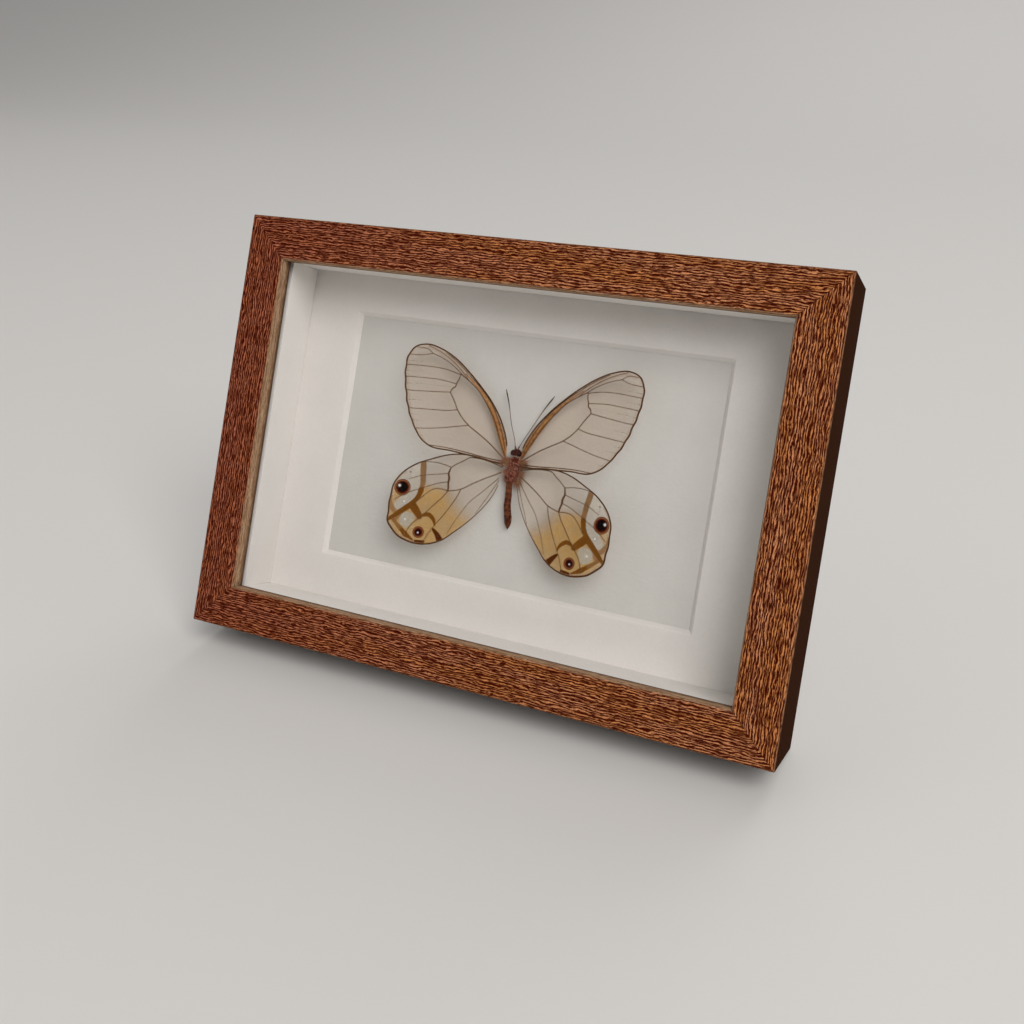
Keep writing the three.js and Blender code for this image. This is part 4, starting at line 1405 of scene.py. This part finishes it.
def make_body(finish):
    """Rows of points round the middle line, slightly lumpy, closed at both ends."""
    y = np.linspace(BODY_PROFILE[0][0], BODY_PROFILE[-1][0], BODY_ROWS)[:, None]
    angle = np.linspace(0, 2 * np.pi, BODY_SIDES, endpoint=False)[None]
    lumps = 1 + 0.035 * np.sin(3 * angle + 2.1 * y) * np.sin(1.7 * y)
    points = body_point(y + 0 * angle, angle + 0 * y, body_radius(y) * lumps)
    values = {
        "abdomen": np.clip((-4.2 - y) / 0.8, 0, 1),
        "ring": (y / RING_EVERY) % 1.0,
        "head": np.clip((y - 2.3) / 0.4, 0, 0.85),
    }
    values = {name: np.broadcast_to(v, points.shape[:2]).ravel() for name, v in values.items()}
    first_ring = np.arange(BODY_SIDES)[None]
    last_ring = (BODY_ROWS - 1) * BODY_SIDES + first_ring
    faces = [grid_faces(BODY_ROWS, BODY_SIDES, wrap=True)[:, ::-1], first_ring, last_ring[:, ::-1]]
    return make_piece("body", points.reshape(-1, 3), faces, finish,
                      replaces=["butterfly_body"], values=values)


def chitin_finish():
    """Waxy brown: mottled, with dark seams between the rings and a darker head."""
    material, tree, shader = new_finish("body_chitin", Roughness=0.6, Specular_IOR_Level=0.1)
    place = object_place(tree)
    mottle = noise(tree, place, 900, 4.0, 0.65)
    fine = noise(tree, place, 5200, 3.0, 0.6)
    thorax = blend(tree, mottle, THORAX_DARK, THORAX_BROWN)
    back = blend(tree, fade(tree, mottle, 0.36, 0.64), ABDOMEN_DARK, ABDOMEN_BROWN)
    seam = fade(tree, value_of(tree, "ring"), 0.62, 0.92)
    back = blend(tree, calc(tree, "MULTIPLY", seam, 0.7), back, SEAM_DARK)
    colour = blend(tree, value_of(tree, "abdomen"), thorax, back)
    colour = blend(tree, value_of(tree, "head"), colour, HEAD_DARK)
    height = calc(tree, "ADD", mottle, calc(tree, "MULTIPLY", fine, 0.5))
    paint(tree, shader, Base_Color=colour, Normal=relief(tree, height, 0.0001, 0.8))
    return material


chitin = chitin_finish()
make_body(chitin)

# %% [markdown]
# The head carries two round dark eyes and two short palps that point forwards. The
# eyes are faceted far too finely to see, but they shine.

# %% Head
EYE_RADII = (0.7225, 0.85, 0.85)
EYE_PLACE = (0.95, 3.5, 0.25)
HEAD_X = 0.45
EYE_BLACK = (0.012, 0.003, 0.002)
EYE_BROWN = (0.036, 0.009, 0.006)


def ball(centre, radii, rows=28, sides=40):
    """Point = centre + radii x (cos a sin b, sin a sin b, cos b); the poles are single points."""
    b = np.linspace(0, np.pi, rows + 2)[1:-1, None]
    a = np.linspace(0, 2 * np.pi, sides, endpoint=False)[None]
    unit = np.stack([np.cos(a) * np.sin(b), np.sin(a) * np.sin(b), np.cos(b) + 0 * a], -1)
    poles = np.array([[0, 0, 1.0], [0, 0, -1.0]])
    points = np.concatenate([unit.reshape(-1, 3), poles]) * np.array(radii) + np.array(centre)
    around = np.arange(sides)
    last = (rows - 1) * sides
    top = np.stack([around, (around + 1) % sides, np.full(sides, rows * sides)], 1)
    foot = np.stack([last + (around + 1) % sides, last + around, np.full(sides, rows * sides + 1)], 1)
    return points, [grid_faces(rows, sides, wrap=True), top, foot], {}


def on_body(x, y, z):
    """From (right, up, above the middle line) to own millimetres."""
    return np.array([HEAD_X + x, MIDDLE_Y + y, CARD_Z + BODY_RISE + z])


def eye_finish():
    """Near black, with the finest of facets in the gloss."""
    material, tree, shader = new_finish("eye", Roughness=0.28, Specular_IOR_Level=0.16, Coat_Weight=0.03)
    place = object_place(tree)
    cells = add(tree, "TexVoronoi", {"Vector": place, "Scale": 9000})
    colour = blend(tree, cells.outputs["Distance"], EYE_BLACK, EYE_BROWN)
    paint(tree, shader, Base_Color=colour, Normal=relief(tree, cells.outputs["Distance"], 0.00002, 0.4))
    return material


eye_gloss = eye_finish()
for eye_side, side_word in ((-1, "left"), (1, "right")):
    x, y, z = EYE_PLACE
    eye_points, eye_faces, _ = ball(on_body(eye_side * x, y, z), EYE_RADII)
    make_piece(f"eye_{side_word}", eye_points, eye_faces, eye_gloss)

PALP_ROWS = 12
PALP = [(0.22, 4.2, -0.1), (0.34, 4.7, 0.1), (0.42, 5.15, 0.3), (0.45, 5.5, 0.4)]
palps = []
for palp_side in (-1, 1):
    path = smooth_line([on_body(palp_side * x, y, z) for x, y, z in PALP], PALP_ROWS)
    thick = np.interp(np.linspace(0, 1, PALP_ROWS), (0, 0.4, 1), (0.17, 0.2, 0.05))
    palps.append(tube(path, thick, sides=10))
palp_points, palp_faces, _ = join_shapes(palps)
make_piece("palps", palp_points, palp_faces, chitin)

# %% [markdown]
# An antenna is a thread of short joints that ends in a darker, thicker club. So it is
# a tube along a smooth line, whose radius swells and shrinks a little at each joint.

# %% Antennae
ANTENNA_ROUTES = {
    "left": [(0.05, 4.3, 0.5), (-0.2, 5.5, 0.3), (-2.5, 11.6, 0.1), (-4.4, 17.2, -0.4), (-5.9, 20.7, -0.7)],
    "right": [(0.75, 4.3, 0.5), (1.15, 5.5, 0.3), (4.0, 11.6, 0.1), (6.7, 17.2, -0.4), (8.7, 20.7, -0.7)],
}
ANTENNA_JOINT = 0.42
ANTENNA_LENGTH = 16.5
ANTENNA_SIDES = 10
ANTENNA_POINTS = 150
ANTENNA_PLACES = (0, 0.04, 0.10, 0.6, 0.93, 1.0)
ANTENNA_RADII = (0.21, 0.17, 0.095, 0.11, 0.20, 0.10)
CLUB_START = 0.62
CLUB_FADE = 0.25
THREAD_DARK = (0.085, 0.045, 0.028)
THREAD_BROWN = (0.20, 0.115, 0.075)
CLUB_BROWN = (0.040, 0.018, 0.012)


def antenna_finish():
    """Brown, and darker in the club."""
    material, tree, shader = new_finish("antenna_chitin", Roughness=0.5)
    place = object_place(tree)
    mottle = noise(tree, place, 1800, 3.0)
    colour = blend(tree, mottle, THREAD_DARK, THREAD_BROWN)
    club = blend(tree, value_of(tree, "club"), colour, CLUB_BROWN)
    paint(tree, shader, Base_Color=club, Normal=relief(tree, mottle, 0.00003, 0.5))
    return material


antenna_brown = antenna_finish()
for side_word, route in ANTENNA_ROUTES.items():
    path = smooth_line([(x, MIDDLE_Y + y, CARD_Z + BODY_RISE + z) for x, y, z in route], ANTENNA_POINTS)
    way = np.linspace(0, 1, len(path))
    joints = 1 + 0.10 * np.cos(2 * np.pi * way * ANTENNA_LENGTH / ANTENNA_JOINT)
    thick = np.interp(way, ANTENNA_PLACES, ANTENNA_RADII) * joints
    points, faces, _ = tube(path, thick, sides=ANTENNA_SIDES)
    club = np.clip((np.concatenate([np.repeat(way, ANTENNA_SIDES), [0, 1]]) - CLUB_START) / CLUB_FADE, 0, 1)
    make_piece(f"feeler_{side_word}", points, faces, antenna_brown,
               replaces=[f"antenna_{side_word}"], values={"club": club})

# %% [markdown]
# The fur of the thorax is thousands of hairs, each a tapering spike with three sides,
# all worked out at once: a root on the body, a direction that leans back from the
# surface, a length and a bend. Longer tufts grow over the roots of the wings and
# behind the thorax, a few thick pale flecks lie among the hairs, and a pale collar
# sits between the head and the thorax. The collar's cream is partly a painted
# highlight, placed where the head catches the light. A random generator with a fixed
# seed places them, so the coat comes out the same every time.

# %% Fur
rng = np.random.default_rng(7)
HAIR_COLOURS = {  # the darkest and the palest hair of each kind
    "dark": ((0.045, 0.004, 0.002), (0.23, 0.032, 0.016)),
    "bright": ((0.42, 0.090, 0.050), (0.95, 0.43, 0.30)),
    "tuft": ((0.30, 0.11, 0.048), (0.72, 0.40, 0.23)),
    "head_hair": ((0.030, 0.006, 0.004), (0.125, 0.032, 0.018)),
    "fleck": ((0.34, 0.13, 0.085), (0.80, 0.47, 0.36)),
}
TIP_BROWN = (0.42, 0.20, 0.14)
COLLAR_CREAM_HIGHLIGHT = (0.66, 0.54, 0.47)
STREAK_DARK = (0.05, 0.02, 0.015)
WING_ROOT_TUFTS = [  # hairs, root, scatter, direction, length and thickness in mm
    (230, (1.45, 0.9, 0.2), (0.35, 0.50, 0.30), (1.0, 0.05, 0.30), 2.9, 0.060),
    (200, (1.35, -1.7, 0.0), (0.35, 0.65, 0.25), (1.0, -0.35, 0.1), 2.2, 0.056),
]
HAIR_STEPS = np.array([0.0, 0.4, 0.75, 1.0])
HAIR_SIDES = 3
HAIR_POINTS = len(HAIR_STEPS) * HAIR_SIDES


def hairs(roots, directions, lengths, thickness, bend):
    """Rings sit at root + direction x length x t + bend x length x t squared.

    The radius shrinks with t, to a tenth at the tip."""
    count = len(roots)
    t = HAIR_STEPS
    directions = directions / np.linalg.norm(directions, axis=1)[:, None]
    reach = lengths[:, None, None]
    centre = roots[:, None] + directions[:, None] * reach * t[None, :, None]
    centre = centre + bend[:, None] * reach * (t**2)[None, :, None]
    across = np.cross(directions, rng.normal(size=(count, 3)))
    across /= np.linalg.norm(across, axis=1)[:, None]
    third = np.cross(directions, across)
    angle = np.array([0, 2, 4]) * np.pi / 3
    ring = np.cos(angle)[None, :, None] * across[:, None] + np.sin(angle)[None, :, None] * third[:, None]
    radius = thickness * (1 - 0.9 * t)
    points = centre[:, :, None] + radius[None, :, None, None] * ring[:, None]
    start = (np.arange(count) * HAIR_POINTS)[:, None]
    wall = grid_faces(len(t), HAIR_SIDES, wrap=True)[:, ::-1]
    walls = (start[:, :, None] + wall[None]).reshape(-1, 4)
    root_end = np.arange(HAIR_SIDES)
    tip_end = HAIR_POINTS - 1 - root_end
    ends = np.concatenate([start + root_end, start + tip_end])
    shade = np.repeat(rng.random(count), HAIR_POINTS)
    along = np.tile(np.repeat(t, HAIR_SIDES), count)
    return points.reshape(-1, 3), [walls, ends], {"shade": shade, "along": along}


def marked(shape, mark):
    """The same hairs, which now also carry the value of that name, 1 on all of them."""
    points, faces, values = shape
    return points, faces, {**values, mark: np.ones(len(points))}


def body_hairs(count, low, high, length, lean_back, thickness, upper_only=True):
    """Hairs that stand on the body between two places, on its upper half or all round."""
    y = rng.uniform(low, high, count)
    angle = rng.uniform(-0.25, np.pi + 0.25, count) if upper_only else rng.uniform(0, 2 * np.pi, count)
    roots = body_point(y, angle, body_radius(y) * 0.97)
    outward = np.stack([np.cos(angle), 0 * y, np.sin(angle)], 1)
    directions = outward + np.array([0, -lean_back, 0]) + rng.normal(scale=0.35, size=(count, 3))
    lengths = rng.uniform(0.6, 1.3, count) * length
    bend = rng.normal(scale=0.18, size=(count, 3)) + np.array([0, -0.2, -0.1])
    return hairs(roots, directions, lengths, thickness, bend)


def tuft(count, spot, spread, way, length, thickness):
    """Hairs that start near one spot and point one way, over the root of a wing."""
    roots = on_body(*spot) + rng.normal(size=(count, 3)) * np.array(spread)
    directions = np.array(way, float) + rng.normal(scale=0.28, size=(count, 3))
    lengths = rng.uniform(0.5, 1.15, count) * length
    bend = rng.normal(scale=0.15, size=(count, 3))
    return marked(hairs(roots, directions, lengths, thickness, bend), "tuft")


def fur_finish():
    """Every hair has its own shade; tufts, head, collar and flecks have colours of their own, and the
    collar's cream is partly a painted highlight.
    """
    material, tree, shader = new_finish("body_fur", Roughness=0.7, Specular_IOR_Level=0.05)
    shade = value_of(tree, "shade")
    place = object_place(tree)
    clump = fade(tree, noise(tree, place, 1250, 3.0, 0.6), 0.46, 0.57)
    kinds = {kind: blend(tree, shade, dark, pale) for kind, (dark, pale) in HAIR_COLOURS.items()}
    colour = blend(tree, clump, kinds["dark"], kinds["bright"])
    colour = blend(tree, value_of(tree, "tuft"), colour, kinds["tuft"])
    colour = blend(tree, calc(tree, "MULTIPLY", value_of(tree, "along"), 0.12), colour, TIP_BROWN)
    colour = blend(tree, value_of(tree, "head_hair"), colour, kinds["head_hair"])
    # the pale collar: partly pale hairs, partly a painted highlight on the head
    colour = blend(tree, value_of(tree, "collar"), colour, COLLAR_CREAM_HIGHLIGHT)
    colour = blend(tree, value_of(tree, "fleck"), colour, kinds["fleck"])
    streak = noise(tree, place, 4000, 2.0)
    colour = blend(tree, calc(tree, "MULTIPLY", streak, 0.3), colour, STREAK_DARK)
    paint(tree, shader, Base_Color=colour)
    return material


head_hairs = marked(body_hairs(260, 2.7, 4.4, 0.30, 0.3, 0.028), "head_hair")
coat = [
    body_hairs(2300, -4.3, 2.3, 0.80, 0.9, 0.050),
    head_hairs,
    body_hairs(1300, -16.6, -4.4, 0.26, 2.0, 0.020, upper_only=False),
]
for tuft_side in (-1, 1):
    for hair_count, (x, y, z), scatter, (out, up, rise), length, thickness in WING_ROOT_TUFTS:
        root, way = (tuft_side * x, y, z), (tuft_side * out, up, rise)
        coat.append(tuft(hair_count, root, scatter, way, length, thickness))
coat.append(tuft(320, (1.3, -3.8, 0.0), (0.45, 0.50, 0.25), (0.6, -1.0, 0.0), 2.0, 0.042))
coat.append(tuft(160, (-1.6, -3.6, 0.0), (0.35, 0.35, 0.25), (-0.7, -1.0, 0.0), 1.4, 0.030))
coat.append(marked(body_hairs(90, -3.9, 1.7, 0.95, 0.7, 0.120), "fleck"))
coat.append(marked(body_hairs(260, 2.45, 2.75, 0.40, -0.3, 0.034), "collar"))
fur_points, fur_faces, fur_values = join_shapes(coat)
make_piece("fur", fur_points, fur_faces, fur_finish(), values=fur_values, sharp=180)

# %% [markdown]
# Behind the card the frame is plain workshop stuff: a brown hardboard back, held by
# six sheet steel tabs that bend out of the rails, and a hinged strut on two rivets.
# Hardboard is pressed fibre, so it is mottled and faintly pitted. The steel is
# zinc-plated: a cool grey with blotchy, half-matt reflections and fine scratches.

# %% Finishes at the back
ZINC_DARK = (0.46, 0.47, 0.49)
ZINC_PALE = (0.66, 0.66, 0.65)


def hardboard_finish(name, light, dark):
    """Cloudy brown, with stretched fibres and pale flecks that also stand out as relief."""
    material, tree, shader = new_finish(name, Roughness=0.8, Specular_IOR_Level=0.25)
    place = solid_place(tree)
    patch = noise(tree, place, 45, 4.0, 0.65)
    fibre = noise(tree, stretch(tree, place, (900, 260, 900)), 1.0, 4.0, 0.7)
    fleck = fade(tree, noise(tree, place, 1300, 2.0, 0.6), 0.62, 0.74)
    colour = blend(tree, fade(tree, patch, 0.3, 0.7), dark, light)
    darker = tuple(0.45 * v for v in dark)
    lighter = tuple(min(1, 1.7 * v) for v in light)
    colour = blend(tree, calc(tree, "MULTIPLY", fibre, 0.45), colour, darker)
    colour = blend(tree, calc(tree, "MULTIPLY", fleck, 0.5), colour, lighter)
    height = calc(tree, "ADD", fibre, calc(tree, "MULTIPLY", fleck, 0.6))
    paint(tree, shader, Base_Color=colour, Normal=relief(tree, height, 0.00012, 0.6))
    return material


def steel_finish():
    """Grey metal with a blotchy gloss and fine scratches."""
    material, tree, shader = new_finish("zinc_steel", Metallic=1.0)
    place = solid_place(tree)
    bloom = noise(tree, place, 420, 3.0, 0.6)
    scratch = noise(tree, stretch(tree, place, (300, 6000, 3000), turn=(0, 0, 0.2)), 1.0, 2.0)
    colour = blend(tree, bloom, ZINC_DARK, ZINC_PALE)
    rough = calc(tree, "MULTIPLY_ADD", bloom, 0.25, 0.24)
    paint(tree, shader, Base_Color=colour, Roughness=rough, Normal=relief(tree, scratch, 0.00002, 0.4))
    return material


back_hardboard = hardboard_finish("back_hardboard", (0.33, 0.20, 0.115), (0.20, 0.115, 0.062))
strut_hardboard = hardboard_finish("strut_hardboard", (0.060, 0.040, 0.030), (0.030, 0.019, 0.014))
zinc_steel = steel_finish()
print("finishes at the back:", back_hardboard.name, strut_hardboard.name, zinc_steel.name)

# %% [markdown]
# The back, the tabs, the hinge leaves and the strut are flat sheets, so a copy with
# softened edges does for each: rounder for the pressed board, nearly sharp for steel.

# %% Back, tabs and hinge
softened("back_panel", "hardboard_back", back_hardboard, 0.2)
TABS = ["top_left", "top_right", "bottom_left", "bottom_right", "side_left", "side_right"]
for tab_place in TABS:
    softened(f"tab_{tab_place}", f"steel_tab_{tab_place}", zinc_steel, 0.12)
softened("hinge_leaf_fixed", "hinge_plate", zinc_steel, 0.1)
softened("hinge_leaf_moving", "hinge_arm", zinc_steel, 0.1, body="strut")
softened("strut_leg", "strut_board", strut_hardboard, 0.35, body="strut")

# %% [markdown]
# Rivets and the hinge pin are turned shapes, so each is a profile spun about its own
# line: a low dome with a rolled edge for the rivets, and a wire with rounded ends for
# the pin.

# %% Rivets and pin
DOME_HEIGHT = 0.5
DOME_START = 0.56
SHANK_SHARE = 0.45


def turned(profile, centre, axis, sides=48):
    """Point = centre + radius x (cos a, sin a) across the axis + height along it; both ends are closed."""
    profile = np.asarray(profile, float)
    axis = np.asarray(axis, float)
    first = np.cross(axis, (0, 1, 0) if abs(axis[1]) < 0.9 else (1, 0, 0))
    second = np.cross(axis, first)
    angle = np.linspace(0, 2 * np.pi, sides, endpoint=False)
    ring = np.cos(angle)[None, :, None] * first + np.sin(angle)[None, :, None] * second
    points = np.array(centre) + profile[:, 0][:, None, None] * ring + profile[:, 1][:, None, None] * axis
    rows = len(profile)
    ends = [np.arange(sides)[None], ((rows - 1) * sides + np.arange(sides))[None, ::-1]]
    return points.reshape(-1, 3), [grid_faces(rows, sides, wrap=True)[:, ::-1]] + ends, {}


def rivet_profile(head, head_height, shank, reach):
    """A dome from the middle to the rim, a rolled edge, then the shank; heights run forwards."""
    a = np.linspace(0.03, np.pi / 2, 12)
    dome = np.stack([head * np.sin(a), -head_height * np.cos(a) ** 1.3], 1)
    edge = [(head * 0.985, 0.10), (head * 0.94, 0.14), (shank, 0.14), (shank, reach)]
    return np.concatenate([dome, edge])


def make_rivet(node, body):
    """A turned rivet in the place of a plain one."""
    low, high = own_box(node)
    middle = (low + high) / 2
    head = (high[0] - low[0]) / 2
    profile = rivet_profile(head, DOME_HEIGHT, head * SHANK_SHARE, high[2] - low[2] - DOME_START)
    points, faces, _ = turned(profile, (middle[0], middle[1], low[2] + DOME_START), (0, 0, 1))
    return make_piece(f"dome_{node}", points, faces, zinc_steel, body=body, replaces=[node])


for rivet_side in ("left", "right"):
    make_rivet(f"rivet_fixed_{rivet_side}", "frame")
    make_rivet(f"rivet_strut_{rivet_side}", "strut")

PIN_END = [(0.02, 0), (0.5, 0.02), (0.9, 0.10), (1.0, 0.25)]
pin_low, pin_high = own_box("hinge_pin")
pin_radius = (pin_high[2] - pin_low[2]) / 2
pin_length = pin_high[0] - pin_low[0]
pin_profile = [(r * pin_radius, h - pin_length / 2) for r, h in PIN_END]
pin_profile += [(r * pin_radius, pin_length / 2 - h) for r, h in reversed(PIN_END)]
pin_points, pin_faces, _ = turned(pin_profile, (pin_low + pin_high) / 2, (1, 0, 0), sides=32)
make_piece("hinge_wire", pin_points, pin_faces, zinc_steel, replaces=["hinge_pin"])
